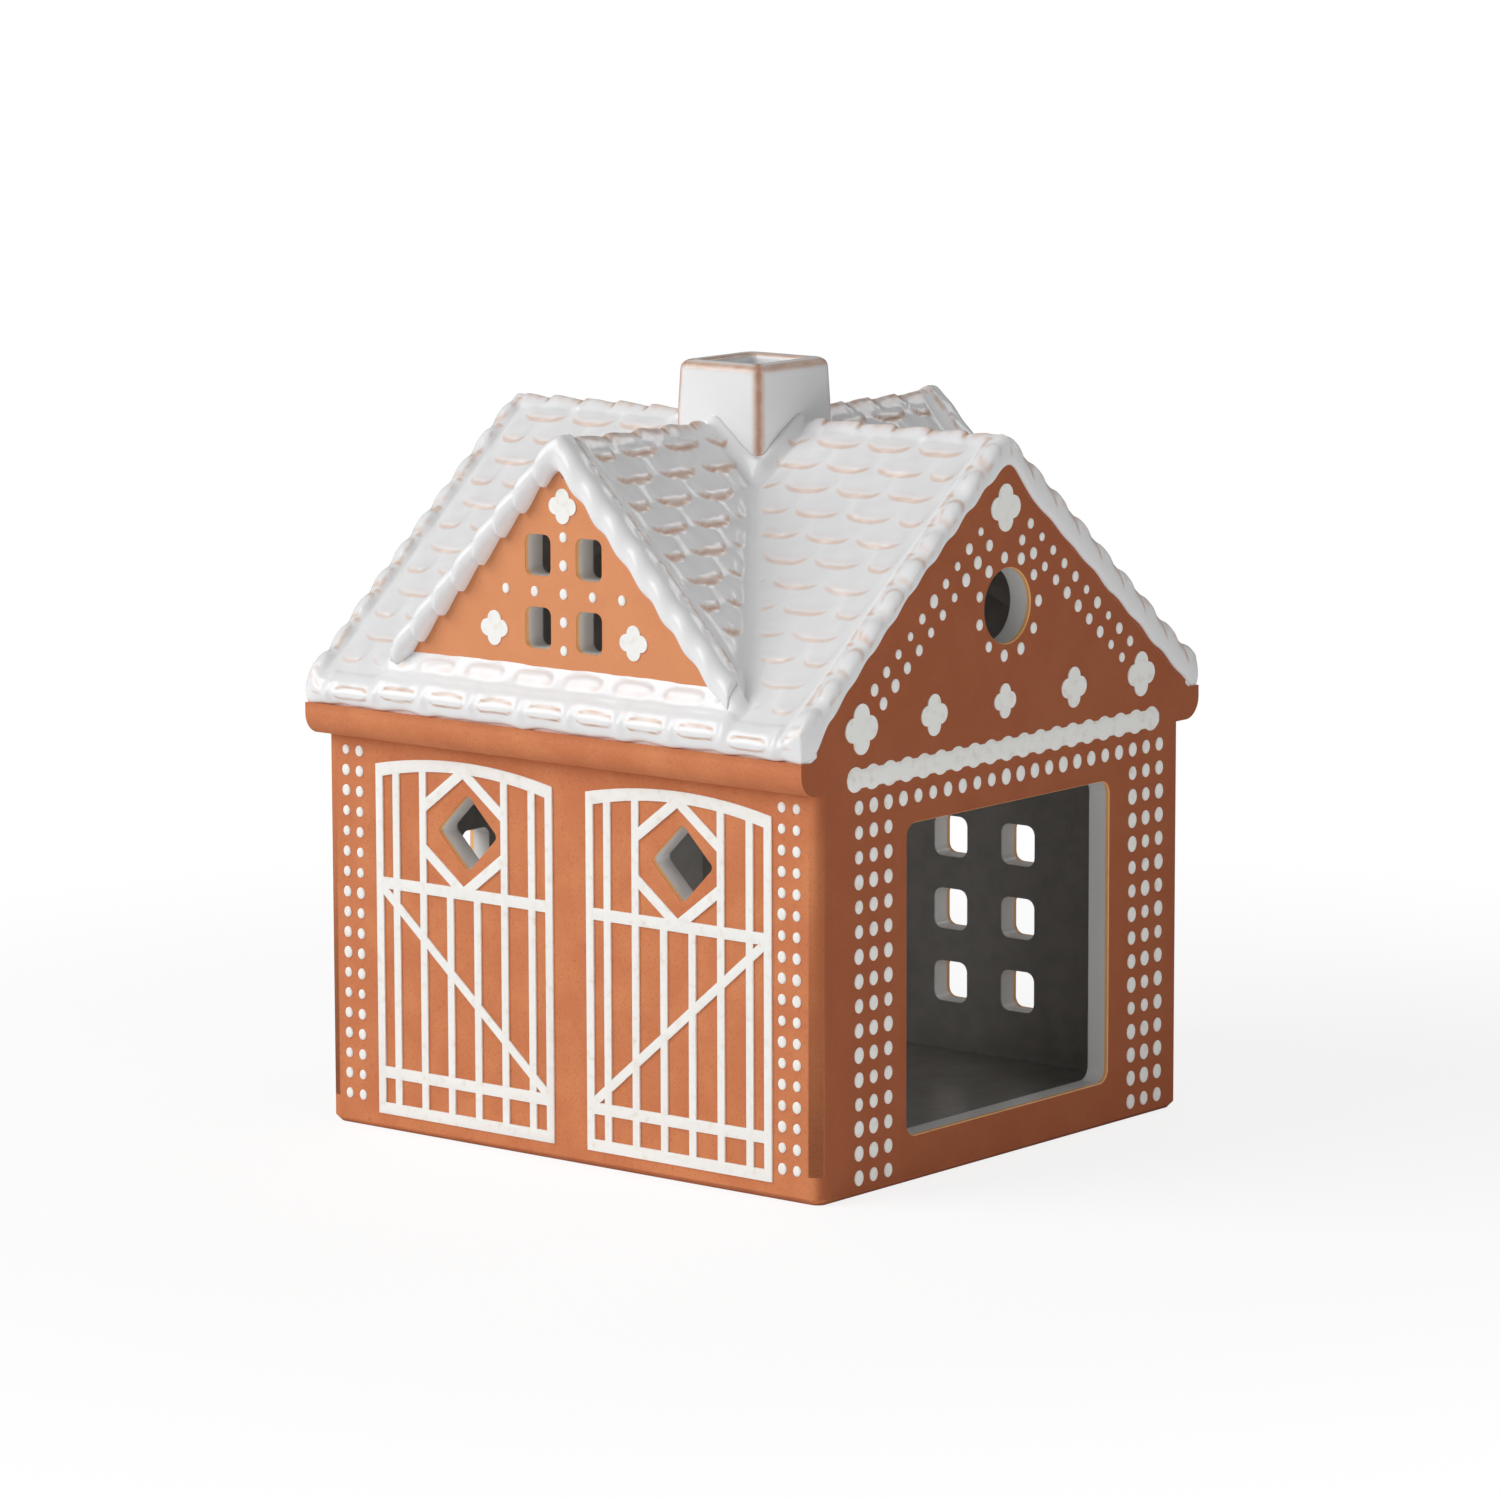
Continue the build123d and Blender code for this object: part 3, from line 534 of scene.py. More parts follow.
@dataclass(frozen=True)
class HouseClay(Finish):
    """Red terracotta, slip cast and sponged; bare outside, glazed white and grey within.

    The eye sees a matt orange brown with a grain of fine sand, a little paler and darker in
    clouds, an amber rim where the glaze stops, made brighter as a painted highlight, white
    reveals and a charcoal room. Which of them it is follows from the depth below the outer faces
    of the walls. The gables carry a painted shade, darker by how far a face turns along the
    ridge, and the dormer walls are paler higher up.
    """

    name: ClassVar[str] = "slip_cast_terracotta"
    body: str = "CC7C52"
    pale: str = "D5875A"
    dark: str = "B9663B"
    fired: str = "8F4A2E"  # painted shade: the gables, facing along the ridge, get this darker clay colour
    dormer_pale: str = "E29A6C"  # the dormer walls, higher up and not facing along the ridge, get this paler clay colour
    # amber where the glaze stops at the openings, made paler as a painted highlight so the rims look lit all
    # round
    rim: str = "FFC382"
    reveal: str = "E9E9E8"
    room: str = "B6B2AE"
    room_mottle: str = "AEAAA5"
    cloud_mm: float = 9.0
    grain_mm: float = 0.45  # real grog is finer; this is the finest that shows in the render
    mottle_mm: float = 4.0
    matt: float = 0.72  # roughness of the bare clay
    gloss: float = 0.2  # roughness of the glaze
    cloud_limits: tuple[float, float] = (0.35, 0.7)
    grain_limits: tuple[float, float] = (0.5, 0.8)
    grain_share: float = 0.55
    gable_shade_share: float = 0.74  # how much of the painted shade the gables get
    dormer_share: float = 0.65
    rim_depth: tuple[float, float] = (0.06, 0.14)  # depths in millimetres where a coat starts and is full
    reveal_depth: tuple[float, float] = (0.7, 1.1)
    room_depth: tuple[float, float] = (0.93 * WALL, WALL)
    corner_depth: tuple[float, float] = (3.2, 3.5)  # the walls' rounded corners stay bare
    foot_height: tuple[float, float] = (1.6, 2.0)
    dormer_height: tuple[float, float] = (86.0, 91.0)

    def surface(self, tree: bpy.types.NodeTree, where: bpy.types.NodeSocket) -> bpy.types.Node:
        """Build the nodes of the finish.

        Args:
            tree: the material's node tree.
            where: Object coordinates.

        Returns:
            The last shader.
        """
        sizes = ((self.cloud_mm, 3.0), (self.grain_mm, 2.0), (self.grain_mm, 3.0), (self.mottle_mm, 3.0))
        clouds, grain, sand, mottle = (
            add_node(tree, "TexNoise", {"Vector": where, "Scale": 1 / (size * MM), "Detail": detail})
            for size, detail in sizes
        )
        split = add_node(tree, "SeparateXYZ", [where]).outputs
        depths = []
        for socket, face in ((split[0], HALF_LENGTH), (split[1], HALF_DEPTH)):
            off = add_node(tree, "Math", [socket], operation="ABSOLUTE")
            depths.append(add_node(tree, "Math", [face * MM, off], operation="SUBTRACT"))
        depth = add_node(tree, "Math", depths, operation="MINIMUM")
        deeper = add_node(tree, "Math", depths, operation="MAXIMUM")
        corner, foot, rim, reveal, room, high = (
            add_node(tree, "MapRange", [value, limits[0] * MM, limits[1] * MM], **SMOOTH)
            for value, limits in (
                (deeper, self.corner_depth),
                (split[2], self.foot_height),
                (depth, self.rim_depth),
                (depth, self.reveal_depth),
                (depth, self.room_depth),
                (split[2], self.dormer_height),
            )
        )
        # painted shade: faces are darkened by how far they turn along the ridge, as on the gables
        gable = add_node(tree, "Attribute", attribute_name="gable").outputs["Fac"]
        wall = add_node(tree, "Math", [1.0, gable], operation="SUBTRACT")
        paler = add_node(tree, "Math", [high, self.dormer_share], operation="MULTIPLY")
        inside = add_node(tree, "Math", [corner, foot], operation="MULTIPLY")
        fired, dormer_pale, glazed, whitened, darkened = (
            add_node(tree, "Math", pair, operation="MULTIPLY")
            for pair in (
                (gable, self.gable_shade_share),
                (paler, wall),
                (inside, rim),
                (inside, reveal),
                (inside, room),
            )
        )
        mottled, cloudy = (
            add_node(tree, "MapRange", [noise, *self.cloud_limits], **SMOOTH) for noise in (mottle, clouds)
        )
        grained = add_node(tree, "MapRange", [grain, *self.grain_limits, 0.0, self.grain_share], **SMOOTH)
        grey = add_node(tree, "Mix", {0: mottled, 6: self.room, 7: self.room_mottle}, **RGBA)
        colour = self.body
        for share, coat in (
            (cloudy, self.pale),
            (grained, self.dark),
            # painted shade of the gables
            (fired, self.fired),
            (dormer_pale, self.dormer_pale),
            # rim: amber glaze edge with a painted highlight
            (glazed, self.rim),
            (whitened, self.reveal),
            (darkened, grey),
        ):
            colour = add_node(tree, "Mix", {0: share, 6: colour, 7: coat}, **RGBA)
        inputs = {
            "Base Color": colour,
            "Roughness": add_node(tree, "MapRange", [glazed, 0.0, 1.0, self.matt, self.gloss], **SMOOTH),
            "IOR": 1.5,
            "Specular IOR Level": 0.2,
            "Normal": add_node(tree, "Bump", {"Height": sand, "Strength": 0.22, "Distance": 0.12 * MM}),
        }
        return add_node(tree, "BsdfPrincipled", inputs)


@dataclass(frozen=True)
class StudioPaper(Finish):
    """Matt white paper sweep that fades into the white background and keeps the soft shadow."""

    name: ClassVar[str] = "white_paper_sweep"
    paper: str = "F2F2F2"
    white: str = "FFFFFF"
    lift: float = 0.83
    shade: float = 0.18  # how much of the shadow the camera sees
    fade_out: tuple[float, float] = (0.16, 0.32)  # metres from the house where the paper turns white

    def surface(self, tree: bpy.types.NodeTree, where: bpy.types.NodeSocket) -> bpy.types.Node:
        """Build the nodes of the finish.

        Args:
            tree: the material's node tree.
            where: Object coordinates.

        Returns:
            The last shader.
        """
        sight = add_node(tree, "LightPath").outputs["Is Camera Ray"]
        away = add_node(tree, "VectorMath", [where], operation="LENGTH").outputs["Value"]
        distant = add_node(tree, "MapRange", [away, *self.fade_out], **SMOOTH)
        far, lift = (
            add_node(tree, "Math", [sight, value], operation="MULTIPLY") for value in (distant, self.lift)
        )
        dim = [c * self.shade for c in linear(self.paper)[:3]] + [1.0]
        inputs = {
            "Base Color": add_node(tree, "Mix", {0: sight, 6: self.paper, 7: dim}, **RGBA),
            "Roughness": 0.9,
            "Emission Color": self.white,
            "Emission Strength": lift,
        }
        shader = add_node(tree, "BsdfPrincipled", inputs)
        white = add_node(tree, "Emission", {"Color": self.white, "Strength": 1.0})
        return add_node(tree, "MixShader", [far, shader, white])


# The glazed roof


@dataclass(frozen=True)
class Tile:
    """One shingle: its middle across the slope, lip down the slope, size, relief and brown lip."""

    across: float
    lip: float
    half_width: float
    strength: float
    tint: float


@dataclass
class Relief:
    """Relief of the glaze at many places: its height above the plain slopes and how thin it runs."""

    height: Array
    thin: Array

    def lay(self, share: Array, height: Array, thin: Array) -> None:
        """Lay another form over the relief.

        Args:
            share: how much of it is covered by the new form, from 0 to 1.
            height: the new form's height.
            thin: how thin the glaze runs on it.
        """
        self.height = self.height + (height - self.height) * share
        self.thin = self.thin + (thin - self.thin) * share


@dataclass(frozen=True)
class Lapping:
    """Even joints between lapped lumps along a line, by the first joint and the pitch."""

    first: float
    pitch: float

    def phase(self, along: Array) -> Array:
        """Share of the way from each joint to the next."""
        return ((along - self.first) / self.pitch) % 1.0

    def away(self, along: Array) -> Array:
        """Distance from the nearest joint."""
        phase = self.phase(along)
        return np.minimum(phase, 1 - phase) * self.pitch

    def swell(self, along: Array) -> Array:
        """Rounded lump between joints, from 0 to 1."""
        return np.sin(math.pi * self.phase(along)) ** 2

    def tooth(self, along: Array) -> Array:
        """Lump that rises slowly and ends steeply at the next joint, from 0 to 1."""
        phase = self.phase(along)
        return smoothstep(phase / 0.85) * (1 - climb(phase, 0.88, 0.12))


@dataclass
class RoofShape:
    """Height of the glazed roof above each place of its plan, with its relief.

    Places are given as x along the main ridge and y across it, or ax and ay without their sign.
    Widths and centres inside the formulas are millimetres of the house.
    """

    ridge: float = 134.56
    main_drop: float = math.tan(math.radians(39))
    dormer_drop: float = math.tan(math.radians(46))
    main_ceiling: float = 128.12
    dormer_ceiling: float = 128.37
    slit: float = 55.45
    slit_end: float = 40.6
    rake_end: float = 4.4  # length of the rounded end of a dormer's rake
    rake_width: float = 2.6
    dormer_foot: float = 43.48
    bank_height: float = 2.9
    bank_reach: float = 6.5
    pool: float = 3.4  # width over which the glaze pools in the valleys
    crest: float = 0.9  # rounding of the ridges
    main_rows: int = 12
    course: float = 5.98
    first_lip: float = 6.5
    tile_pitch: float = 12.0
    tile_length: float = 6.0
    tile_half: float = 5.6
    edge_tile: tuple[float, float] = (51.4, 3.0)  # middle and half width of the narrow ones outside
    tile_strength: tuple[float, float] = (0.8, 0.3)  # at the ridge, and how much is lost to the eave
    tile_tint: tuple[float, float] = (0.58, 0.2)
    left_shift: float = 1.4  # how much further out the shingles of the left half lie
    lip_height: float = 0.8
    lip_sag: float = 2.1  # how much further down the middle of a lip hangs than its corners
    dormer_rows: int = 8
    dormer_course: float = 5.95
    first_dormer_lip: float = 5.7
    dormer_odd: tuple[float, ...] = (37.4, 25.2, 13.0)
    dormer_even: tuple[float, ...] = (43.5, 31.3, 19.1)
    dormer_tile_half: float = 5.3
    dormer_edge_tile: tuple[float, float] = (47.4, 2.9)
    dormer_strength: float = 1.2
    dormer_tint: float = 0.85
    eave_down: float = 76.3  # how far down the slope the roll of the eave starts
    main_caps: Lapping = Lapping(1.2, 8.25)
    dormer_caps: Lapping = Lapping(2.6, 8.25)
    caps_start: tuple[float, float] = (12.0, 12.8)  # where the rows of caps begin, at the chimney
    caps_tint: tuple[float, float] = (0.5, 0.8)
    front_laps: Lapping = Lapping(1.7, 7.6)
    rear_laps: Lapping = Lapping(8.0, 9.1)
    right_teeth: Lapping = Lapping(1.1, 7.7)
    left_teeth: Lapping = Lapping(6.7, 7.3)
    chimney_half: tuple[float, float] = (10.5, 11.4)
    nowhere: float = -1e3  # height of what isn't there

    def main_down(self, y: Array) -> Array:
        """Distance down a main slope."""
        return np.abs(y) / math.cos(math.atan(self.main_drop))

    def dormer_down(self, x: Array) -> Array:
        """Distance down a dormer's slope."""
        return np.abs(x) / math.cos(math.atan(self.dormer_drop))

    def main_tiles(self) -> list[Tile]:
        """Shingles of a main slope, on the plan's positive X; they get shallower down the slope.

        Returns:
            The shingles.
        """
        tiles = []
        for row in range(1, self.main_rows + 1):
            lip = self.first_lip + self.course * (row - 1)
            down = row / (self.main_rows + 1)
            strength, tint = (top - loss * down for top, loss in (self.tile_strength, self.tile_tint))
            if row % 2:
                centres = [self.tile_pitch * k for k in range(0, 5)]
            else:
                centres = [self.tile_pitch * (k + 0.5) for k in range(0, 4)]
                tiles.append(Tile(self.edge_tile[0], lip, self.edge_tile[1], strength, tint))
            tiles += [Tile(c - 0.6 if c else 0.0, lip, self.tile_half, strength, tint) for c in centres]
        return tiles

    def dormer_tiles(self) -> list[Tile]:
        """Shingles of a dormer slope, by distance from the middle of the house.

        Returns:
            The shingles.
        """
        tiles = []
        for row in range(1, self.dormer_rows + 1):
            lip = self.first_dormer_lip + self.dormer_course * (row - 1)
            sizes = [(c, self.dormer_tile_half) for c in (self.dormer_odd if row % 2 else self.dormer_even)]
            sizes += [self.dormer_edge_tile] if row % 2 else []
            tiles += [Tile(c, lip, half, self.dormer_strength, self.dormer_tint) for c, half in sizes]
        return tiles

    def shingles(self, across: Array, down: Array, tiles: Iterable[Tile]) -> Relief:
        """Relief of the pillowed shingles on one slope.

        Args:
            across: distance across the slope.
            down: distance down the slope from the ridge.
            tiles: the shingles.

        Returns:
            Their relief.
        """
        relief = Relief(np.zeros_like(across), np.zeros_like(across))
        for tile in tiles:
            u = (across - tile.across) / tile.half_width
            above = tile.lip - self.lip_sag * np.abs(u) ** 3.6 - down
            near = (np.abs(u) < 1.1) & (above > -1.8) & (above < self.tile_length + 1)
            if not near.any():
                continue
            u, above = u[near], above[near]
            body = np.clip(1 - u**4, 0, 1)
            ramp = np.clip(1 - above / (self.tile_length + 0.8), 0, 1) ** 0.9
            height = self.lip_height * tile.strength * (climb(above, -0.9, 1.9) * ramp) * body
            smile = tile.tint * bell(above, 0.42, -0.1) * np.clip(1 - u**8, 0, 1)
            haze = 0.3 * min(tile.tint, 0.5) * bell(above, 1.3, 0.9) * body
            relief.height[near] = np.maximum(relief.height[near], height)
            relief.thin[near] = np.maximum(relief.thin[near], np.maximum(smile, haze))
        return relief

    def caps(
        self, relief: Relief, along: Array, off: Array, laps: Lapping, start: float, tinted: float
    ) -> None:
        """Lay a row of lapped caps along one ridge.

        Args:
            relief: the relief that they lie on.
            along: distance along the ridge from the crossing.
            off: distance from the ridge.
            laps: their joints.
            start: where the row begins.
            tinted: how thin the glaze runs along their tops.
        """
        away = laps.away(along)
        height = (0.6 + 0.55 * laps.tooth(along)) * bell(off, 2.1)
        drop = bell(away, 0.8) * bell(off, 0.8, 2.0)
        tick = bell(away, 0.45) * fade(off, 2.4, 0.6)
        tint = tinted * bell(off, 1.4) * (0.6 + 0.4 * waver(along, 8, (6.1, 2.9, 11.0)))
        thin = np.maximum(0.95 * tick, tint) * (1 - 0.9 * drop)
        relief.lay(fade(off, 3.0, 1.0) * climb(along, start, 1.5), height + 0.45 * drop, thin)

    def rake_pad(self, down: Array, fall: Array, laps: Lapping) -> Relief:
        """Soft oval pads on the outer face of a gable's rake, with joints and crescents at the rear.

        Args:
            down: distance down the slope.
            fall: distance below the upper edge of the face, negative on the roof.
            laps: joints of the lumps.

        Returns:
            How far they stand out and how thin the glaze runs.
        """
        along = (laps.phase(down) - 0.5) * laps.pitch
        oval = np.sqrt((along / 3.1) ** 2 + ((fall - 0.5) / 1.5) ** 2)
        patchy = np.clip(0.5 + waver(down, 33, (11.3, 4.9, 2.9)), 0, 1)
        thin = 0.42 * bell(oval, 0.3, 0.9) * patchy
        if laps is self.rear_laps:
            leaning = down - 0.4 * fall
            joint = 0.8 * bell(laps.away(leaning), 0.5) * bell(fall, 1.5, 2.0)
            crescent = 0.5 * laps.phase(leaning) ** 1.3 * bell(fall, 0.9, 1.3)
            thin = np.maximum(thin, np.maximum(joint, crescent))
        return Relief(0.5 * (1 - climb(oval, 0.3, 0.9)), thin)

    def from_pad(self, x: Array) -> Array:
        """Distance along the eave from the middle of the nearest oval of its roll."""
        half = self.tile_pitch / 2
        return np.abs(((np.abs(x) + half) % self.tile_pitch) - half)

    def eave_pad(self, x: Array, fall: Array) -> Relief:
        """Oval pads with thin rims along the eave, and raised lumps between them.

        Args:
            x: distance along the eave.
            fall: distance below the upper edge of the nose, negative on the roof.

        Returns:
            How far they stand out and how thin the glaze runs.
        """
        phase = self.from_pad(x)
        oval = ((phase / 4.6) ** 4 + ((fall - 2.4) / 1.3) ** 2) ** 0.5
        lump = bell(phase, 1.1, 6.0) * bell(fall, 2.2, 2.4)
        rim = bell(oval, 0.17, 1.0) * fade(phase, 4.7, 1.4)
        rim = rim * (0.75 + 0.25 * waver(x, 31, (23.0, 9.1, 4.7)))
        return Relief(0.4 * (1 - climb(oval, 0.5, 0.9)) + 0.7 * lump, rim * (1 - lump))

    def slopes(self, x: Array, y: Array) -> tuple[Array, Array]:
        """Plain slopes with rounded ridges and pooled valleys.

        Args:
            x: places along the main ridge.
            y: places across it.

        Returns:
            Height, and how much higher the main slope is than the dormer's.
        """
        ax, ay = (np.sqrt(v**2 + self.crest**2) - 0.4 * self.crest for v in (x, y))
        main = self.ridge - self.main_drop * ay + self.bank(x, np.abs(y))
        dormer = self.ridge - self.dormer_drop * ax
        past = np.clip(np.abs(y) - self.slit, 0, None)
        swell = self.rake_taper(x)
        width = self.rake_width * swell + 0.01
        toe = -2.0 * (1 - swell) - 3.4 * (1 - np.sqrt(np.clip(1 - (past / width) ** 2, 0, 1)))
        foot = np.where(past < width, dormer + toe * climb(np.abs(y), 53.0, 2.4), self.nowhere)
        dormer = np.where(np.abs(x) < self.slit_end, np.where(past > 0, self.nowhere, dormer), foot)
        gap = main - dormer
        pooled = np.clip(self.pool - np.abs(gap), 0, None) ** 2 / (4 * self.pool)
        return np.maximum(main, dormer) + pooled, gap

    def rake_taper(self, x: Array) -> Array:
        """Share from 1 to 0 of the dormer's roll that is left at its rounded foot."""
        return np.sqrt(1 - np.clip((np.abs(x) - self.slit_end) / self.rake_end, 0, 1) ** 2)

    def bank(self, x: Array, ay: Array) -> Array:
        """Bank of glaze against the foot of the dormer's wall.

        Args:
            x: places along the eave.
            ay: distance from the main ridge.

        Returns:
            Height above the main slope.
        """
        share = np.clip(1 - np.clip(ay - HALF_DEPTH, 0, None) / self.bank_reach, 0, 1) ** 1.25
        ends = fade(np.abs(x), self.dormer_foot + 0.6, 3.0)
        uneven = 0.12 * waver(x, 5, (31.0, 17.0))
        return (self.bank_height + uneven) * share * ends * (ay > self.slit)

    def surface(self, x: Array, y: Array) -> tuple[Array, Array]:
        """Height and thinness of the glaze over places of the plan.

        Args:
            x: places along the main ridge.
            y: places across it; its sign is the front or rear only.

        Returns:
            Height, and how thin the glaze runs from 0 to 1.
        """
        ax, ay = np.abs(x), np.abs(y)
        top, gap = self.slopes(x, y)
        on_main, on_dormer = climb(gap, 0.8, 3.2), climb(-gap, 0.8, 3.2)
        down = self.main_down(y)
        relief = self.shingles(np.where(x < 0, ax - self.left_shift, ax), down, self.main_tiles())
        more = self.shingles(ay, self.dormer_down(x), self.dormer_tiles())
        relief = Relief(
            relief.height * on_main + more.height * on_dormer,
            np.maximum(relief.thin * on_main, more.thin * on_dormer),
        )
        self.caps(relief, ax, ay, self.main_caps, self.caps_start[0], self.caps_tint[0])
        self.caps(relief, ay, ax, self.dormer_caps, self.caps_start[1], self.caps_tint[1])
        self.gable_rake(relief, x, down, self.laps_of(y))
        self.dormer_rake(relief, x, ay, on_dormer)
        self.eave(relief, x, ay, down)
        self.ends(relief, ax, ay)
        self.flange(relief, ax, ay)
        uneven = 0.09 * waver(x + 0.6 * y, 3, (17, 9.3, 5.1)) + 0.09 * waver(y - 0.4 * x, 4, (13, 7.7, 4.3))
        return top + relief.height + uneven, np.clip(relief.thin, 0, 1)

    def laps_of(self, y: Array) -> Lapping:
        """Joints of the gable rakes on the front or rear slope, by the sign of Y."""
        return self.front_laps if float(np.mean(y)) < 0 else self.rear_laps

    def gable_rake(self, relief: Relief, x: Array, down: Array, laps: Lapping) -> None:
        """Lay the raised border along a main gable, with slanting joints at the rear.

        Args:
            relief: the relief that it lies on.
            x: places along the ridge.
            down: distance down the slope.
            laps: its joints.
        """
        inset = HALF_LENGTH - np.abs(x)
        narrow = np.where(x < 0, 1.3, 0.0)  # the left rakes are narrower
        pad = self.rake_pad(down, 1.6 - inset, laps)
        height = 0.65 + 0.45 * laps.swell(down) * bell(inset, 1.7, 3.2) + pad.height
        patchy = np.clip(0.45 + 1.1 * waver(down, 34, (15.7, 7.3, 3.3)), 0, 1)
        line = 0.42 * bell(inset + narrow, 0.75, 3.6) * patchy
        tick = 0.7 * bell(laps.away(down), 0.45) * bell(inset + narrow, 1.1, 3.6)
        if laps is self.rear_laps:
            slant = bell(laps.away(down - 0.5 * inset), 0.4, 0.2)
            tick = np.maximum(tick, 0.6 * slant * bell(inset, 1.5, 1.6))
        thin = np.maximum(np.maximum(line, tick), pad.thin)
        relief.lay(smoothstep((5.2 - narrow - inset) / 1.8), height, thin)

    def teeth_of(self, x: Array) -> tuple[Array, Array, Array]:
        """Lumps along both rakes of a dormer.

        Args:
            x: places along the main ridge; the left and right rake differ.

        Returns:
            Distance from the nearest joint, smooth lumps of the right rake, lapped teeth of the left.
        """
        down = self.dormer_down(x)
        right = x > 0
        away = np.where(right, self.right_teeth.away(down), self.left_teeth.away(down))
        return away, self.right_teeth.swell(down) * right, self.left_teeth.tooth(down) * ~right

    def dormer_rake(self, relief: Relief, x: Array, ay: Array, on_dormer: Array) -> None:
        """Lay the fat roll along the rakes of the dormer.

        Args:
            relief: the relief that it lies on.
            x: places along the main ridge.
            ay: distance from the main ridge.
            on_dormer: share of the dormer's slope at each place.
        """
        front = HALF_DEPTH - ay
        away, swell, tooth = self.teeth_of(x)
        mild = np.where(x > 0, 1.0, 0.45)
        drop = bell(away, 0.75) * bell(front, 0.75, 2.0)
        full = (2.1 - 0.8 * climb(x, -3.0, 6.0)) * self.rake_taper(x)
        height = full + (0.25 * swell + 0.7 * tooth) * bell(front, 2.6, 0.5) + 0.4 * drop
        patchy = np.clip(0.6 + 0.6 * waver(self.dormer_down(x), 14, (9.7, 5.3, 2.3)), 0, 1)
        line = 0.62 * mild * bell(front, 0.55, 2.5) * patchy
        smear = 0.9 * mild * bell(away, 0.5, 0.6) * bell(front, 0.6, 2.2)
        share = fade(front, 5.6, 4.0) * smoothstep(on_dormer * 2)
        relief.lay(share, height, np.maximum(line, smear) * (1 - drop))

    def eave(self, relief: Relief, x: Array, ay: Array, down: Array) -> None:
        """Lay the flat ovals of the apron and the roll along the eave.

        Args:
            relief: the relief that they lie on.
            x: places along the eave.
            ay: distance from the main ridge.
            down: distance down the slope.
        """
        ax = np.abs(x)
        inner = fade(ax, HALF_LENGTH - 5.0, 1.0)
        under_sill = (ay > self.slit) * fade(ax, self.dormer_foot - 2.5, 1.5)
        phase = np.abs((ax % self.tile_pitch) - self.tile_pitch / 2)
        oval = ((phase / 4.5) ** 4 + ((ay - 57.15) / 0.78) ** 2) ** 0.5
        lower = climb(ay, 56.7, 0.8) * np.clip(0.6 + 0.6 * waver(x, 35, (9.1, 5.3)), 0, 1)
        tint = 0.1 * (1 - climb(oval, 0.8, 0.4)) + 0.24 * lower * bell(oval, 0.25, 1.0)
        relief.lay(under_sill, 0.5 * (1 - climb(oval, 0.6, 0.6)), tint)
        roll = self.eave_pad(x, down - self.eave_down)
        relief.lay(climb(down, 74.6, 1.5) * inner, 0.3 + 0.8 * roll.height, roll.thin)

    def ends(self, relief: Relief, ax: Array, ay: Array) -> None:
        """Calm the glaze at the foot of the dormer, and round it up at the corner of the eave.

        Args:
            relief: the relief that is changed.
            ax: distance along the eave from its middle.
            ay: distance from the main ridge.
        """
        foot = bell(np.hypot(ax - 43.0, ay - 57.0), 2.6)
        corner = bell(np.hypot(ax - 57.6, ay - 58.6), 2.6)
        relief.height = relief.height + 0.7 * corner
        relief.thin = relief.thin * (1 - foot) * (1 - 0.8 * corner)

    def flange(self, relief: Relief, ax: Array, ay: Array) -> None:
        """Draw the glaze up where the roof meets the chimney.

        Args:
            relief: the relief that is raised.
            ax: distance along the main ridge from the crossing.
            ay: distance from the main ridge.
        """
        beside = (np.clip(a - half, 0, None) for a, half in zip((ax, ay), self.chimney_half))
        off = np.hypot(*beside)
        reach = 1.7 + 0.9 * smoothstep(np.minimum(ax, ay) / 9.0)
        trough = 0.55 * bell(off, 1.0, 3.0)
        relief.height = relief.height * climb(off, 1.2, 1.6) + reach * bell(off, 1.25, 0.5) - trough
        relief.thin = relief.thin * climb(off, 1.2, 1.2)

    def ceiling(self, x: Array, y: Array) -> Array:
        """Plain underside over places of the plan.

        Args:
            x: places along the main ridge.
            y: places across it.

        Returns:
            Its height.
        """
        main = self.main_ceiling - self.main_drop * np.abs(y)
        dormer = self.dormer_ceiling - self.dormer_drop * np.abs(x)
        return np.maximum(main, np.where(np.abs(y) < self.slit, dormer, self.nowhere))


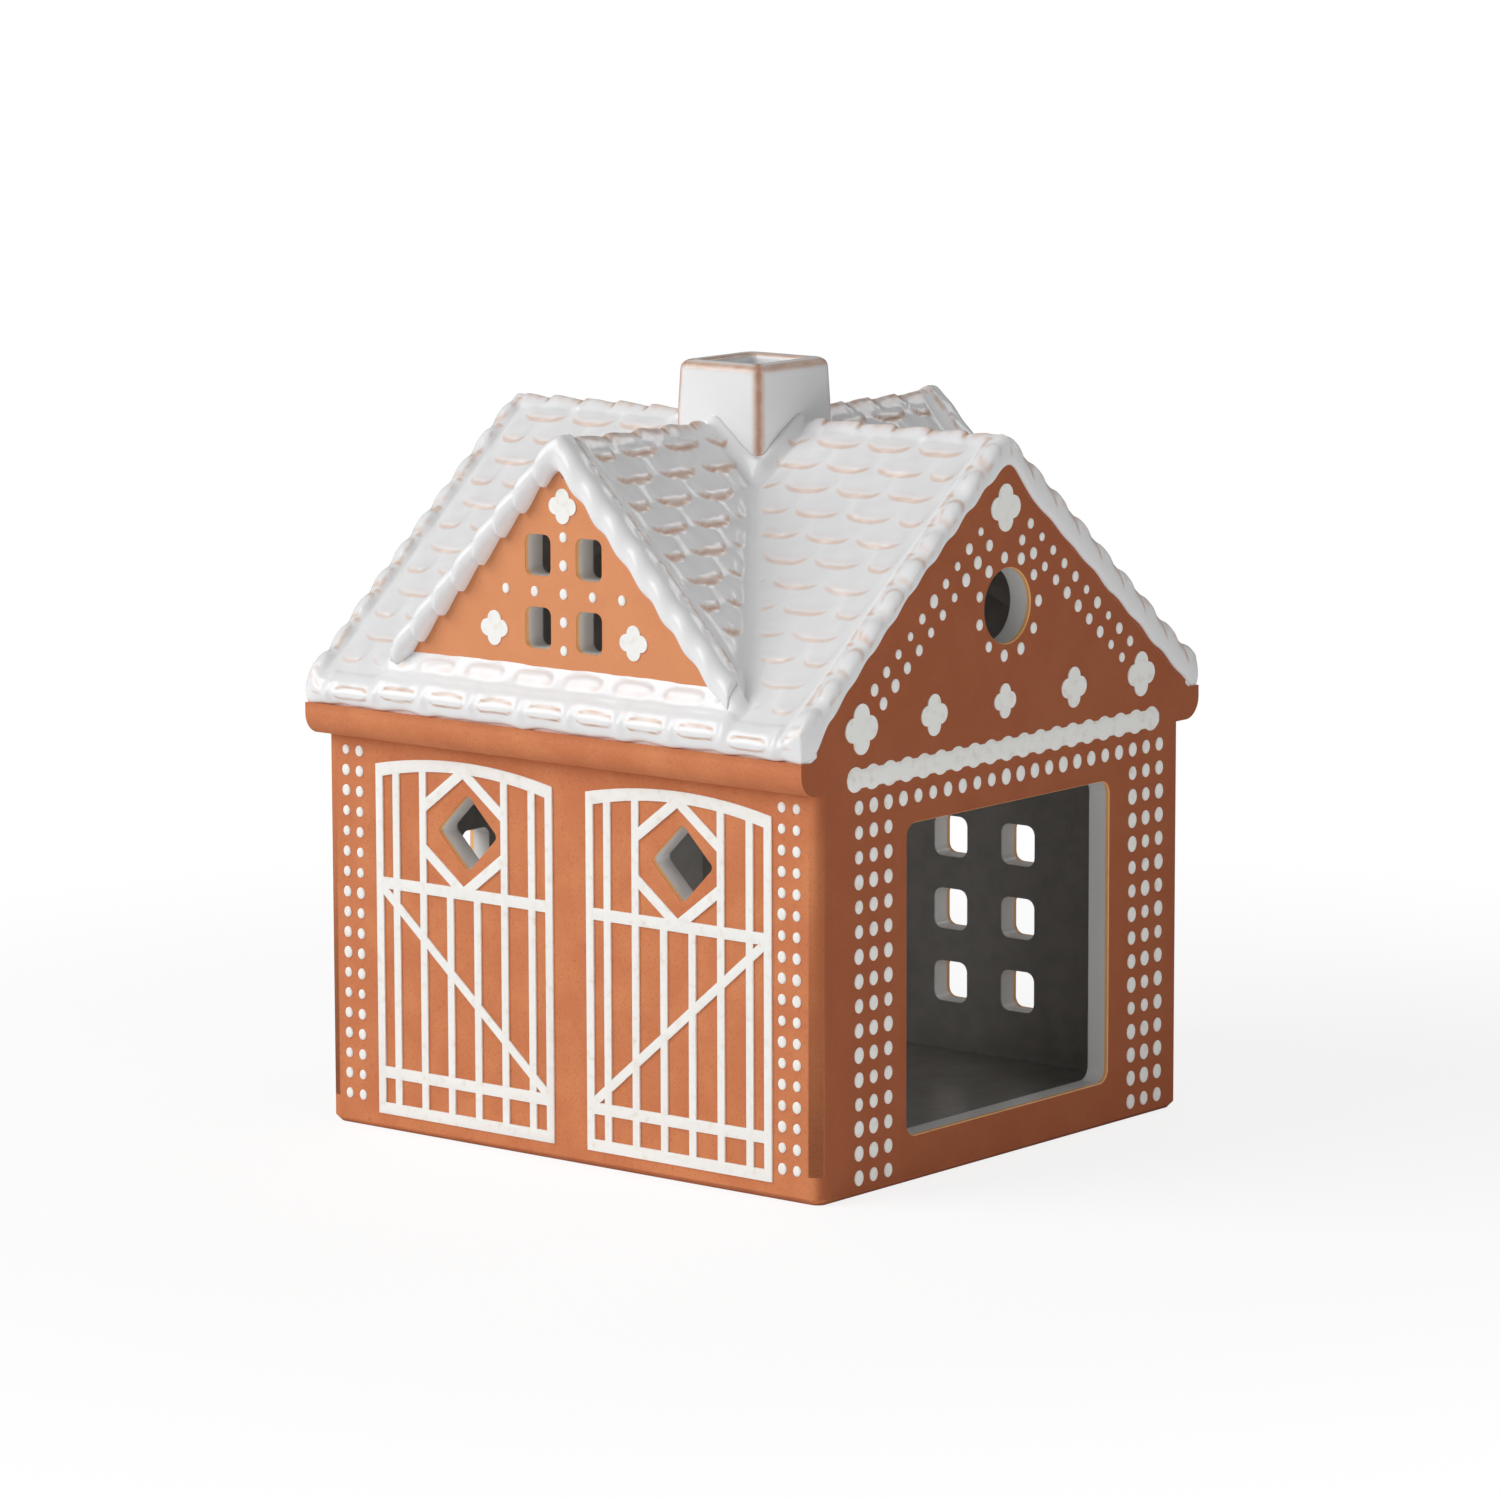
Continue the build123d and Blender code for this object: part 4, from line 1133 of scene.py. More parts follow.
@dataclass
class GlazedRoof:
    """The two halves of the roof, each one skin of thick glaze over the clay slab."""

    glaze: bpy.types.Material
    clay: bpy.types.Material
    shape: RoofShape = field(default_factory=RoofShape)
    span: float = 58.4  # half length of the plan grid; the rounded border stands outside it
    reach: float = 59.3
    columns: int = 292
    rows: int = 191
    notch: tuple[float, float] = (8.0, 9.0)
    nose_rings: int = 20
    gable_nose: float = 1.3
    eave_nose: float = 1.75
    dormer_nose: float = 2.3
    corner: float = 3.0  # length over which the gable's border turns into the eave's
    face_gap: float = 0.02  # how far bare clay below the glaze stands proud of the wall
    eave_edge: float = 81.9

    @property
    def rings(self) -> int:
        """Number of rings: the nose, its edge on the wall, the wall under it, the underside."""
        return self.nose_rings + 3

    def nodes(self, side: Side) -> list[str]:
        """CAD nodes that one half stands for.

        Args:
            side: which half.

        Returns:
            Their names.
        """
        end = "front" if side is Side.FRONT else "rear"
        names = [f"{end}_roof", f"{end}_dormer_roof_right", f"{end}_dormer_roof_left"]
        names += [f"{end}_ridge_caps", f"{end}_dormer_right_rake", f"{end}_dormer_left_rake"]
        names += [f"{end}_dormer_sill", f"{end}_eave_drips"]
        names += [f"right_gable_{end}_rake", f"left_gable_{end}_rake"]
        names += ["right_ridge_caps", "left_ridge_caps"] if side is Side.FRONT else []
        return names

    def plan(self) -> bpy.types.Object:
        """Plan grid of the front half, with a notch at the chimney and a slit at the dormer's face.

        Returns:
            A flat grid at its place.
        """
        deselect()
        bpy.ops.mesh.primitive_grid_add(x_subdivisions=self.columns, y_subdivisions=self.rows, size=1)
        grid = bpy.context.object
        places = coordinates(grid.data) * MM
        x = places[:, 0] * 2 * self.span
        y = (places[:, 1] - 0.5) * self.reach
        set_coordinates(grid.data, np.stack([x, y, np.zeros_like(x)], 1))
        step = self.reach / self.rows
        flags = []
        for face in grid.data.polygons:
            centre = face.center / MM
            in_notch = abs(centre.x) < self.notch[0] and centre.y > -self.notch[1]
            in_slit = abs(centre.x) < self.shape.slit_end and abs(centre.y + self.shape.slit) < step / 2
            flags.append(in_notch or in_slit)
        grid.data.vertices.foreach_set("select", np.zeros(len(grid.data.vertices), bool))
        grid.data.edges.foreach_set("select", np.zeros(len(grid.data.edges), bool))
        grid.data.polygons.foreach_set("select", np.array(flags, bool))
        edit("FACE")
        bpy.ops.mesh.delete(type="FACE")
        leave()
        return grid

    def gable_edge(self, y: Array, side: Side) -> Array:
        """Lower edge of the glaze on a gable.

        Args:
            y: places across the main ridge.
            side: which half of the roof.

        Returns:
            Its height.
        """
        s = self.shape
        ay, down = np.abs(y), s.main_down(y)
        plane = s.ridge - s.main_drop * np.sqrt(y**2 + 5.0)
        away = smoothstep(ay / 8.0)
        if side is Side.REAR:
            wavy = 0.35 * s.rear_laps.swell(down) + 0.15 * waver(y, 21, (13.0, 8.1))
            return plane - 3.2 - away * (2.5 + wavy)
        below = 3.2 - 1.8 * np.sin(math.pi * np.clip(ay / 58.0, 0, 1))
        below = below + away * (0.75 * s.front_laps.swell(down) + 0.25 * waver(y, 22, (17.0, 6.1)))
        return plane - below - (5.7 - below) * climb(ay, 53.0, 5.5)

    def dormer_edge(self, x: Array) -> Array:
        """Lower edge of the glaze on a dormer's wall.

        Args:
            x: places along the main ridge.

        Returns:
            Its height.
        """
        s = self.shape
        _, swell, tooth = s.teeth_of(x)
        lift = 2.9 - 2.1 * climb(x, -3.0, 6.0)
        line = s.dormer_ceiling - s.dormer_drop * (np.sqrt(x**2 + 2.0) - 0.4)
        return line + lift - 0.6 * swell - 1.3 * tooth + 0.12 * waver(x, 23, (9.0, 4.1))

    def border(self, plan: Array, ring: int, side: Side) -> tuple[Array, Array]:
        """Places of one ring of the border, worked out from the plan places of its vertices.

        Args:
            plan: plan places of the border's vertices, in the front half.
            ring: number of the ring, from 1 at the top to the last at the underside.
            side: which half of the roof it is for.

        Returns:
            Places in millimetres, and how thin the glaze runs.
        """
        s = self.shape
        x, y = plan[:, 0], plan[:, 1]
        ax, ay, true_y = np.abs(x), np.abs(y), y * -side.value
        top, thin = s.surface(x, true_y)
        low = s.ceiling(x, y)
        if ring == self.rings:
            return np.stack([x, y, low], 1), np.zeros(len(x))
        turn = math.pi * min(1.0, ring / self.nose_rings)
        bulge, share = math.sin(turn) ** 0.8, turn / math.pi
        sunk = (1 - math.cos(turn)) / 2
        last = ring > self.nose_rings + 1
        result = np.stack([x, y, top + (low - top) * ring / self.rings], 1)
        paint = np.zeros(len(x))

        # Gables and eave, running into each other at the corners
        at_eave = np.abs(ay - self.reach) < 0.01
        outer = (np.abs(ax - self.span) < 0.01) | at_eave
        eaves = np.where(
            at_eave,
            1 - 0.5 * smoothstep((ax - self.span + self.corner) / self.corner),
            0.5 * smoothstep((ay - self.reach + self.corner) / self.corner),
        )
        out = np.stack([np.sign(x) * (1 - eaves), -eaves], 1)
        out /= np.linalg.norm(out, axis=1)[:, None] + 1e-9
        wavy = 0.2 * waver(x, 12 + side.value, (19.0, 8.3)) - 0.35 * bell(s.from_pad(x), 2.4, 6.0)
        edge = self.gable_edge(true_y, side) * (1 - eaves) + eaves * (self.eave_edge + wavy)
        fall = (top - edge) * sunk
        rake_pad = s.rake_pad(s.main_down(y), fall, s.laps_of(true_y))
        eave_pad = s.eave_pad(x, fall)
        on_eave = np.clip(2 * eaves - 1, 0, 1)
        pad = rake_pad.height * (1 - eaves) + eave_pad.height * on_eave
        landing = (HALF_LENGTH - self.span + self.face_gap) * (1 - eaves) + 0.5 * eaves
        swell = self.gable_nose * (1 - eaves) + self.eave_nose * eaves
        offset = landing * share + (swell + pad) * bulge
        z = np.where(last, low, top - fall - eaves * s.main_drop * offset * (1 - share) ** 2)
        result[outer] = np.stack([x + out[:, 0] * offset, y + out[:, 1] * offset, z], 1)[outer]
        rims = np.maximum(rake_pad.thin * (1 - eaves), eave_pad.thin * on_eave)
        paint[outer] = (rims * (share < 0.9))[outer]

        # Dormer: a fat roll above, glaze tucked behind the wall below
        at_slit = ~outer & (np.abs(y + s.slit) < self.reach / self.rows) & (ax < s.slit_end + 0.5)
        upper, lower = at_slit & (ay < s.slit), at_slit & (ay > s.slit)
        _, lump, tooth = s.teeth_of(x)
        landing = HALF_DEPTH + self.face_gap - ay
        fuller = 0.3 * smoothstep((ax - s.slit_end + 5.0) / 5.0)
        swell = self.dormer_nose + fuller + (0.35 * lump + 1.2 * tooth) * (1 - fuller)
        z = np.where(last, low, top + (self.dormer_edge(x) - top) * sunk)
        result[upper] = np.stack([x, y - landing * share - swell * bulge, z], 1)[upper]
        paint[upper] = (thin * bell(np.clip(top - z, 0, None), 0.9))[upper]
        tucked = top - 0.25 * min(ring, 3) + (low - top) * share * 0.7
        result[lower] = np.stack([x, y + 1.4 * min(1.0, ring / 3), tucked], 1)[lower]
        return result, paint

    def place_ring(self, mesh: bpy.types.Mesh, side: Side, ring: int) -> None:
        """Move a freshly extruded ring of the border to its place.

        Args:
            mesh: the border's mesh, with the ring selected.
            side: which half of the roof.
            ring: the ring's number.
        """
        chosen = read(mesh.vertices, "select", bool)
        origin = read(mesh.attributes["plan"].data, "vector", size=3)
        thin = read(mesh.attributes["thin"].data, "value")
        places = coordinates(mesh)
        places[chosen], thin[chosen] = self.border(origin[chosen].astype(float), ring, side)
        set_coordinates(mesh, places)
        mesh.attributes["thin"].data.foreach_set("value", thin)

    def border_of(self, roof: bpy.types.Object) -> bpy.types.Object:
        """Copy the open edges of the roof to a piece of their own.

        Args:
            roof: the roof's upper skin.

        Returns:
            The edges alone.
        """
        activate(roof)
        edit("EDGE")
        bpy.ops.mesh.select_all(action="DESELECT")
        bpy.ops.mesh.select_non_manifold()
        bpy.ops.mesh.duplicate()
        bpy.ops.mesh.separate(type="SELECTED")
        leave()
        return next(piece for piece in bpy.context.selected_objects if piece is not roof)

    def bare(self, mesh: bpy.types.Mesh) -> Array:
        """Find the faces of bare clay, which lie in the plane of the gables and dormers.

        Args:
            mesh: the border's mesh.

        Returns:
            A flag for each face.
        """
        centres = np.abs(read(mesh.polygons, "center", size=3) / MM)
        normals = np.abs(read(mesh.polygons, "normal", size=3))
        level = np.abs(centres[:, :2] - (HALF_LENGTH, HALF_DEPTH) - self.face_gap) < 0.01
        return (level & (normals[:, :2] > 0.99)).any(1)

    def half(self, side: Side) -> None:
        """Build one half of the roof: upper skin, rounded border and plain underside.

        Args:
            side: which half.
        """
        roof = self.plan()
        name = f"{side.name.lower()}_roof_glaze"
        mesh = roof.data
        mesh.name = name
        plan = coordinates(mesh)
        flat = mesh.copy()
        top, thin = self.shape.surface(plan[:, 0], plan[:, 1] * -side.value)
        set_coordinates(mesh, np.column_stack([plan[:, :2], top]))
        origin = mesh.attributes.new("plan", "FLOAT_VECTOR", "POINT")
        origin.data.foreach_set("vector", plan.astype(np.float32).ravel())
        mesh.attributes.new("thin", "FLOAT", "POINT").data.foreach_set("value", thin.astype(np.float32))
        rim = self.border_of(roof)
        extrude_rings(rim, range(1, self.rings + 1), partial(self.place_ring, rim.data, side))

        under = bpy.data.objects.new("underside", flat)
        bpy.context.scene.collection.objects.link(under)
        set_coordinates(flat, np.column_stack([plan[:, :2], self.shape.ceiling(plan[:, 0], plan[:, 1])]))
        dissolve = partial(bpy.ops.mesh.dissolve_limited, angle_limit=math.radians(0.5))
        rework(under, bpy.ops.mesh.flip_normals, dissolve)
        for part in (flat, mesh, rim.data):
            part.materials.append(self.glaze)
            part.materials.append(self.clay)
        flat.polygons.foreach_set("material_index", np.ones(len(flat.polygons), np.int32))
        rim.data.polygons.foreach_set("material_index", self.bare(rim.data).astype(np.int32))
        join([roof, under, rim], name)
        if side is Side.REAR:
            set_coordinates(mesh, coordinates(mesh) * (1, -1, 1))
        merge = partial(bpy.ops.mesh.remove_doubles, threshold=0.03 * MM)
        rework(roof, merge, partial(bpy.ops.mesh.normals_make_consistent, inside=False))
        mesh.attributes.remove(mesh.attributes["plan"])
        smooth(roof, 75)
        # mask for the painted shade on the bare clay of the gables
        mark_gable_shade(mesh)
        dress(roof, self.glaze, self.nodes(side))

    def build(self) -> None:
        """Build both halves."""
        for side in Side:
            self.half(side)


# The clay body


@dataclass
class ClayBody:
    """Walls, floor and cornices of the house: copies of the cast parts with softened edges."""

    clay: bpy.types.Material
    edge: float = 0.6  # rounding of the openings' rims
    window_corner: float = 0.8  # rounding of the small windows' corners
    margin: float = 1.5  # what is nearer to a wall's border is no opening
    steep: float = 10.0  # a longer run both up and along is the roof line
    grid: float = 50.0  # places are compared in steps of one fiftieth of a millimetre
    sharp: float = math.radians(60)

    def sharp_pairs(self, mesh: bpy.types.Mesh) -> set[tuple[int, ...]]:
        """Find the edges where two faces meet at a sharp angle.

        Args:
            mesh: the mesh.

        Returns:
            A key for each edge, made from its rounded ends.
        """
        faces: dict[tuple[int, int], list[Vector]] = {}
        for face in mesh.polygons:
            for key in face.edge_keys:
                faces.setdefault(key, []).append(face.normal)
        keys = set()
        for pair, normals in faces.items():
            if len(normals) == 2 and normals[0].angle(normals[1]) > self.sharp:
                ends = sorted(tuple(round(c / MM * self.grid) for c in mesh.vertices[i].co) for i in pair)
                keys.add(ends[0] + ends[1])
        return keys

    def shell(self, node: str) -> None:
        """Build a wall of bare clay with soft rims round its openings.

        Args:
            node: the CAD node that it stands for.
        """
        piece = cad_copy(node, f"{node}_clay")
        low, high = (Vector(v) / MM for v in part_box(node))
        axis = 0 if high.x - low.x < high.y - low.y else 1
        other = 1 - axis

        def within(ends: Sequence[Vector], margin: float) -> bool:
            """Whether both ends of an edge are away from the wall's upright borders."""
            return all(low[other] + margin < end[other] < high[other] - margin for end in ends)

        def corner(first: Vector, second: Vector) -> bool:
            """Whether an edge runs through the wall at the corner of a window.

            Args:
                first: one end.
                second: the other end.

            Returns:
                Whether it does.
            """
            through = abs(abs(first[axis] - second[axis]) - (high[axis] - low[axis])) < 0.05
            level = abs(first.z - second.z) < 0.02 and abs(first[other] - second[other]) < 0.02
            return through and level and within((first, second), 2) and first.z > low.z + 1

        if node not in ("front_wall", "right_gable") and bevel_edges(piece, corner, self.window_corner, 4):
            merge = partial(bpy.ops.mesh.remove_doubles, threshold=0.02 * MM)
            rework(piece, merge, partial(bpy.ops.mesh.dissolve_degenerate, threshold=0.01 * MM))
        sharp = self.sharp_pairs(piece.data)

        def opening(first: Vector, second: Vector) -> bool:
            """Whether an edge is the sharp rim of an opening, and neither border nor roof line.

            Args:
                first: one end.
                second: the other end.

            Returns:
                Whether it is.
            """
            ends = (first, second)
            faces = (low[axis], high[axis])
            if not any(all(abs(end[axis] - face) < 0.02 for end in ends) for face in faces):
                return False
            if not within(ends, self.margin) or min(first.z, second.z) <= low.z + 0.3:
                return False
            keys = sorted(tuple(round(c * self.grid) for c in end) for end in ends)
            run = second - first
            return keys[0] + keys[1] in sharp and min(abs(run.z), run.xy.length) <= self.steep

        bevel_edges(piece, opening, self.edge, 3)
        self.close(piece, node)

    def close(self, piece: bpy.types.Object, node: str) -> None:
        """Shade a piece of clay, mark what faces along the ridge as the mask of the gables' painted shade,
        and give it its place.

        Args:
            piece: the piece.
            node: the CAD node that it stands for.
        """
        smooth(piece, 38, weighted=True)
        mark_gable_shade(piece.data)
        dress(piece, self.clay, [node])

    def build(self) -> None:
        """Build every clay piece."""
        walls = ("front_wall", "rear_wall", "left_gable", "right_gable")
        for node in (*walls, "front_dormer_wall", "rear_dormer_wall"):
            self.shell(node)
        for node in ("floor_slab", "front_cornice", "rear_cornice"):
            self.close(cad_copy(node, f"{node}_clay"), node)


@dataclass
class Chimney:
    """Square glazed chimney, a little wider at its foot, with a thick open rim and brown edges.

    Its skin is one outline of stations, extruded ring by ring up the outside, over the rim and
    down the flue.
    """

    glaze: bpy.types.Material
    half: tuple[float, float] = (10.6, 11.5)
    foot: float = 122.5
    taper: float = 0.4
    taper_start: float = 134.0
    taper_length: float = 12.0
    wall: float = 3.7
    corner: float = 2.6
    rim: float = 1.7
    inner_rim: float = 1.1
    rim_steps: int = 8
    inner_steps: int = 6
    straight: float = 130.0  # height from which the skin gets more rings
    turns: int = 10  # steps round each corner
    steps: int = 12  # steps along each side

    def profile(self, top: float) -> list[tuple[float, float, float]]:
        """Inset, height and thinness of the glaze of each ring, from the foot to the flue.

        Args:
            top: height of the rim.

        Returns:
            One entry for each ring.
        """
        rows = [(0.0, self.foot, 0.0)]
        rise = top - self.rim
        for z in np.linspace(self.straight, rise - 0.6, 12):
            rows.append((self.taper * climb(z, self.taper_start, self.taper_length), z, 0.0))
        for k in range(self.rim_steps + 1):
            turn = QUARTER * k / self.rim_steps
            inset = self.taper + self.rim * (1 - math.cos(turn))
            rows.append((inset, rise + self.rim * math.sin(turn), 0.8 * bell(k, 2.6, 3.4)))
        edge = self.taper + self.wall
        rows.append((self.taper + self.rim + 0.4, top, 0.0))
        rows.append((edge - self.inner_rim - 0.3, top, 0.1))
        for k in range(self.inner_steps + 1):
            turn = QUARTER * k / self.inner_steps
            inset = edge - self.inner_rim + self.inner_rim * math.sin(turn)
            rows.append((inset, top - self.inner_rim * (1 - math.cos(turn)), 0.75 * bell(k, 2.2, 2.2)))
        rows += [(edge, z, 0.0) for z in np.linspace(top - self.inner_rim - 0.7, self.foot, 8)]
        return rows

    def outline(self, inset: float) -> tuple[Array, Array]:
        """Rounded rectangle of stations.

        Args:
            inset: how far it lies inside the foot's outline.

        Returns:
            Places on the plan, and distance of each station from the nearest corner's middle.
        """
        radius = max(self.corner - inset * 0.25, 1.2)
        a, b = self.half[0] - inset, self.half[1] - inset
        points, away = [], []
        for corner, (sx, sy) in enumerate(((1, 1), (-1, 1), (-1, -1), (1, -1))):
            centre = Vector((sx * (a - radius), sy * (b - radius)))
            for k in range(self.turns + 1):
                turn = QUARTER * corner + QUARTER * k / self.turns
                points.append(centre + Vector((math.cos(turn), math.sin(turn))) * radius)
                away.append(abs(k / self.turns - 0.5) * QUARTER * radius)
            side = 2 * ((b if corner % 2 else a) - radius)
            heading = Vector(((-1, 0), (0, -1), (1, 0), (0, 1))[corner])
            begin = points[-1]
            for k in range(1, self.steps):
                points.append(begin + heading * (side * k / self.steps))
                away.append(min(k, self.steps - k) / self.steps * side + QUARTER / 2 * radius)
        return np.array(points), np.array(away)

    def place_ring(self, mesh: bpy.types.Mesh, row: tuple[float, float, float]) -> None:
        """Move the selected ring to its place and let the glaze run thin along the edges.

        Args:
            mesh: the chimney's mesh, with the ring selected.
            row: the ring's inset, height and thinness.
        """
        inset, height, thin = row
        chosen = read(mesh.vertices, "select", bool)
        station = read(mesh.attributes["station"].data, "value", np.int32)[chosen]
        values = read(mesh.attributes["thin"].data, "value")
        places = coordinates(mesh)
        points, away = self.outline(inset)
        upright = 0.95 * bell(away, 1.0) * (inset < self.taper + self.rim)
        places[chosen] = np.column_stack([points, np.full(len(points), height)])[station]
        values[chosen] = np.clip(np.maximum(upright, thin), 0, 1)[station]
        set_coordinates(mesh, places)
        mesh.attributes["thin"].data.foreach_set("value", values)

    def build(self) -> None:
        """Build the chimney."""
        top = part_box("chimney")[1].z / MM
        deselect()
        count = len(self.outline(0.0)[0])
        bpy.ops.mesh.primitive_circle_add(vertices=count, radius=0.01)
        piece = bpy.context.object
        piece.name = "chimney_glaze"
        mesh = piece.data
        for name, kind, values in (("station", "INT", np.arange(count)), ("thin", "FLOAT", np.zeros(count))):
            mesh.attributes.new(name, kind, "POINT").data.foreach_set("value", values)
        rows = self.profile(top)
        self.place_ring(mesh, rows[0])
        extrude_rings(piece, rows[1:], partial(self.place_ring, mesh))
        edit("EDGE")
        bpy.ops.mesh.select_all(action="DESELECT")
        bpy.ops.mesh.select_non_manifold()
        bpy.ops.mesh.bridge_edge_loops()
        bpy.ops.mesh.select_all(action="SELECT")
        bpy.ops.mesh.normals_make_consistent(inside=False)
        leave()
        mesh.attributes.remove(mesh.attributes["station"])
        smooth(piece, 60)
        dress(piece, self.glaze, ["chimney"])


# Slip ornament


@dataclass
class SlipOrnament:
    """Dots, four-petalled flowers, garlands and barn doors trailed in white slip."""

    slip: bpy.types.Material
    relief: float = 0.6  # share of the cast dot's height that shows; its edge sinks into the clay
    dot_sides: int = 16
    dot_shape: tuple[float, float] = (0.96, 1.12)  # the nozzle left the dots taller than wide
    petal_sides: int = 64
    petal: tuple[float, float] = (0.255, 0.245)  # a petal's middle and radius, by the flower's width
    flower_size: float = 5.0  # lumps wider than this are flowers
    beads: int = 19
    neck: float = 1.85  # half the garland's height between two beads
    garland_wall: float = 0.35
    door_edge: float = 0.22

    def frame_of(self, node: str) -> tuple[int, float]:
        """Tell which way the wall of an ornament faces.

        Args:
            node: the ornament's CAD node.

        Returns:
            0 for X or 1 for Y, and the sign of the direction.
        """
        if node.startswith(("left_gable", "right_gable")):
            return 0, 1.0 if node.startswith("right") else -1.0
        return 1, 1.0 if node.startswith("rear") else -1.0

    def turned(self, axis: int, sign: float) -> Matrix:
        """Rotation that lays a lump made on the XY plane against a wall."""
        heading = QUARTER * sign if axis == 0 else QUARTER * (sign + 1)
        return Matrix.Rotation(heading, 4, "Z") @ Matrix.Rotation(QUARTER, 4, "X")

    def lump(self, sides: int, edge: float) -> bpy.types.Object:
        """A flat lump of slip about the origin, with soft edges.

        Args:
            sides: vertices of its outline; with those of a flower it gets four petals.
            edge: how far the rounding of its edge reaches, in millimetres.

        Returns:
            A drop of radius 1 mm, or a flower of width 1 mm, 1 mm high above the wall.
        """
        deselect()
        bpy.ops.mesh.primitive_cylinder_add(vertices=sides, radius=MM, depth=2 * MM)
        piece = bpy.context.object
        if sides == self.petal_sides:
            middle, radius = self.petal
            places = coordinates(piece.data)
            angle = np.arctan2(places[:, 1], places[:, 0])
            off = (angle + math.pi / 4) % QUARTER - math.pi / 4
            reach = middle * np.cos(off) + np.sqrt(radius**2 - (middle * np.sin(off)) ** 2)
            set_coordinates(
                piece.data, np.column_stack([reach * np.cos(angle), reach * np.sin(angle), places[:, 2]])
            )
        bevel_edges(piece, lambda first, second: first.z > 0.9 and second.z > 0.9, edge, 3)
        return piece

    def scatter(self, model: bpy.types.Object, places: Iterable[Matrix]) -> list[bpy.types.Object]:
        """Copy a lump to every place, each copy with a mesh of its own.

        Args:
            model: the lump, which is taken away.
            places: turn, size and place of each copy.

        Returns:
            The copies.
        """
        copies = []
        for place in places:
            mesh = model.data.copy()
            mesh.transform(place)
            copies.append(bpy.data.objects.new("lump", mesh))
            bpy.context.scene.collection.objects.link(copies[-1])
        bpy.data.objects.remove(model)
        return copies

    def dots(self, node: str, seed: int, spread: float) -> None:
        """Replace a CAD node of plain dots, and any flowers among them, by rounded ones.

        Args:
            node: the CAD node.
            seed: picks the size of each dot.
            spread: how much the dots differ in size.
        """
        axis, sign = self.frame_of(node)
        other = 1 - axis
        face = (HALF_LENGTH, HALF_DEPTH)[axis]
        turn = self.turned(axis, sign)
        dice = np.random.default_rng(seed)
        drops, petals = [], []
        for low, high in islands(node):
            centre = Vector((low + high) / 2)
            centre[axis] = sign * face
            size = float(max(high[other] - low[other], high[2] - low[2]))
            height = self.relief * float(abs(high[axis] if sign > 0 else low[axis]) - face)
            kind, scale = petals, (size, size, height, 1.0)
            if size <= self.flower_size:
                radius = size / 2 * (1 + spread * dice.uniform(-1, 0.6))
                kind, scale = drops, (self.dot_shape[0] * radius, self.dot_shape[1] * radius, height, 1.0)
            kind.append(Matrix.Translation(centre * MM) @ turn @ Matrix.Diagonal(scale))
        lumps = []
        for places, sides, edge in ((drops, self.dot_sides, 0.55), (petals, self.petal_sides, 0.035)):
            if places:
                lumps += self.scatter(self.lump(sides, edge), places)
        piece = join(lumps, f"{node}_slip")
        smooth(piece, 50)
        dress(piece, self.slip, [node])

    def garland(self, node: str) -> None:
        """Row of beads run together over the doorway, as one scalloped ribbon.

        Args:
            node: the CAD node.
        """
        sign = self.frame_of(node)[1]
        low, high = (Vector(v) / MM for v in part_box(node))
        radius = (high.z - low.z) / 2
        first, last = low.y + radius, high.y - radius
        pitch = (last - first) / (self.beads - 1)
        deselect()
        bpy.ops.mesh.primitive_grid_add(x_subdivisions=self.beads * 14, y_subdivisions=8, size=1)
        piece = bpy.context.object
        piece.name = f"{node}_slip"
        mesh = piece.data
        unit = coordinates(mesh) * MM
        along = low.y + (unit[:, 0] + 0.5) * (high.y - low.y)
        nearest = first + np.clip(np.round((along - first) / pitch), 0, self.beads - 1) * pitch
        circle = np.sqrt(np.clip(radius**2 - (along - nearest) ** 2, 0, None))
        half = np.maximum(circle, ((along > first) & (along < last)) * self.neck)
        across = unit[:, 1] * 2
        inward = np.minimum(along - low.y, high.y - along)
        dome = np.clip(1 - np.abs(across) ** 5, 0, 1) * smoothstep(inward / 0.4)
        rise = max(abs(high.x), abs(low.x)) - HALF_LENGTH
        out = HALF_LENGTH + dome * (rise + 0.1) - 0.1
        level = (high.z + low.z) / 2
        set_coordinates(mesh, np.column_stack([sign * out, along, level + across * half]))
        merge = partial(bpy.ops.mesh.remove_doubles, threshold=0.01 * MM)
        rework(piece, merge, partial(bpy.ops.mesh.normals_make_consistent, inside=False))
        if sum(f.normal.x * f.area for f in mesh.polygons) * sign < 0:
            rework(piece, bpy.ops.mesh.flip_normals)
        back = piece.modifiers.new("body", "SOLIDIFY")
        back.thickness = self.garland_wall * MM
        back.offset = -1
        bpy.ops.object.modifier_apply(modifier=back.name)
        smooth(piece, 50)
        dress(piece, self.slip, [node])

    def door(self, node: str) -> None:
        """Barn door of trailed lines with soft edges.

        Args:
            node: the CAD node.
        """
        piece = cad_copy(node, f"{node}_slip")
        bevel = piece.modifiers.new("soft_edges", "BEVEL")
        bevel.width = self.door_edge * MM
        bevel.segments = 2
        bevel.limit_method = "ANGLE"
        bevel.angle_limit = math.radians(50)
        bevel.use_clamp_overlap = True
        bpy.ops.object.modifier_apply(modifier=bevel.name)
        smooth(piece, 35)
        dress(piece, self.slip, [node])

    def build(self) -> None:
        """Build all ornament."""
        for turn, end in enumerate(("front", "rear")):
            for part, seed, spread in (("wall_dots", 20, 0.12), ("dormer_icing", 30, 0.08)):
                self.dots(f"{end}_{part}", seed + turn, spread)
        spreads = (("dots", 40, 0.14), ("rake_dots", 50, 0.28), ("window_ring", 60, 0.1))
        spreads += (("quatrefoils", 70, 0.0),)
        for turn, end in enumerate(("right_gable", "left_gable")):
            for part, seed, spread in spreads:
                self.dots(f"{end}_{part}", seed + turn, spread)
            self.garland(f"{end}_garland")
        for end in ("left", "right"):
            self.door(f"{end}_door_icing")


# Studio


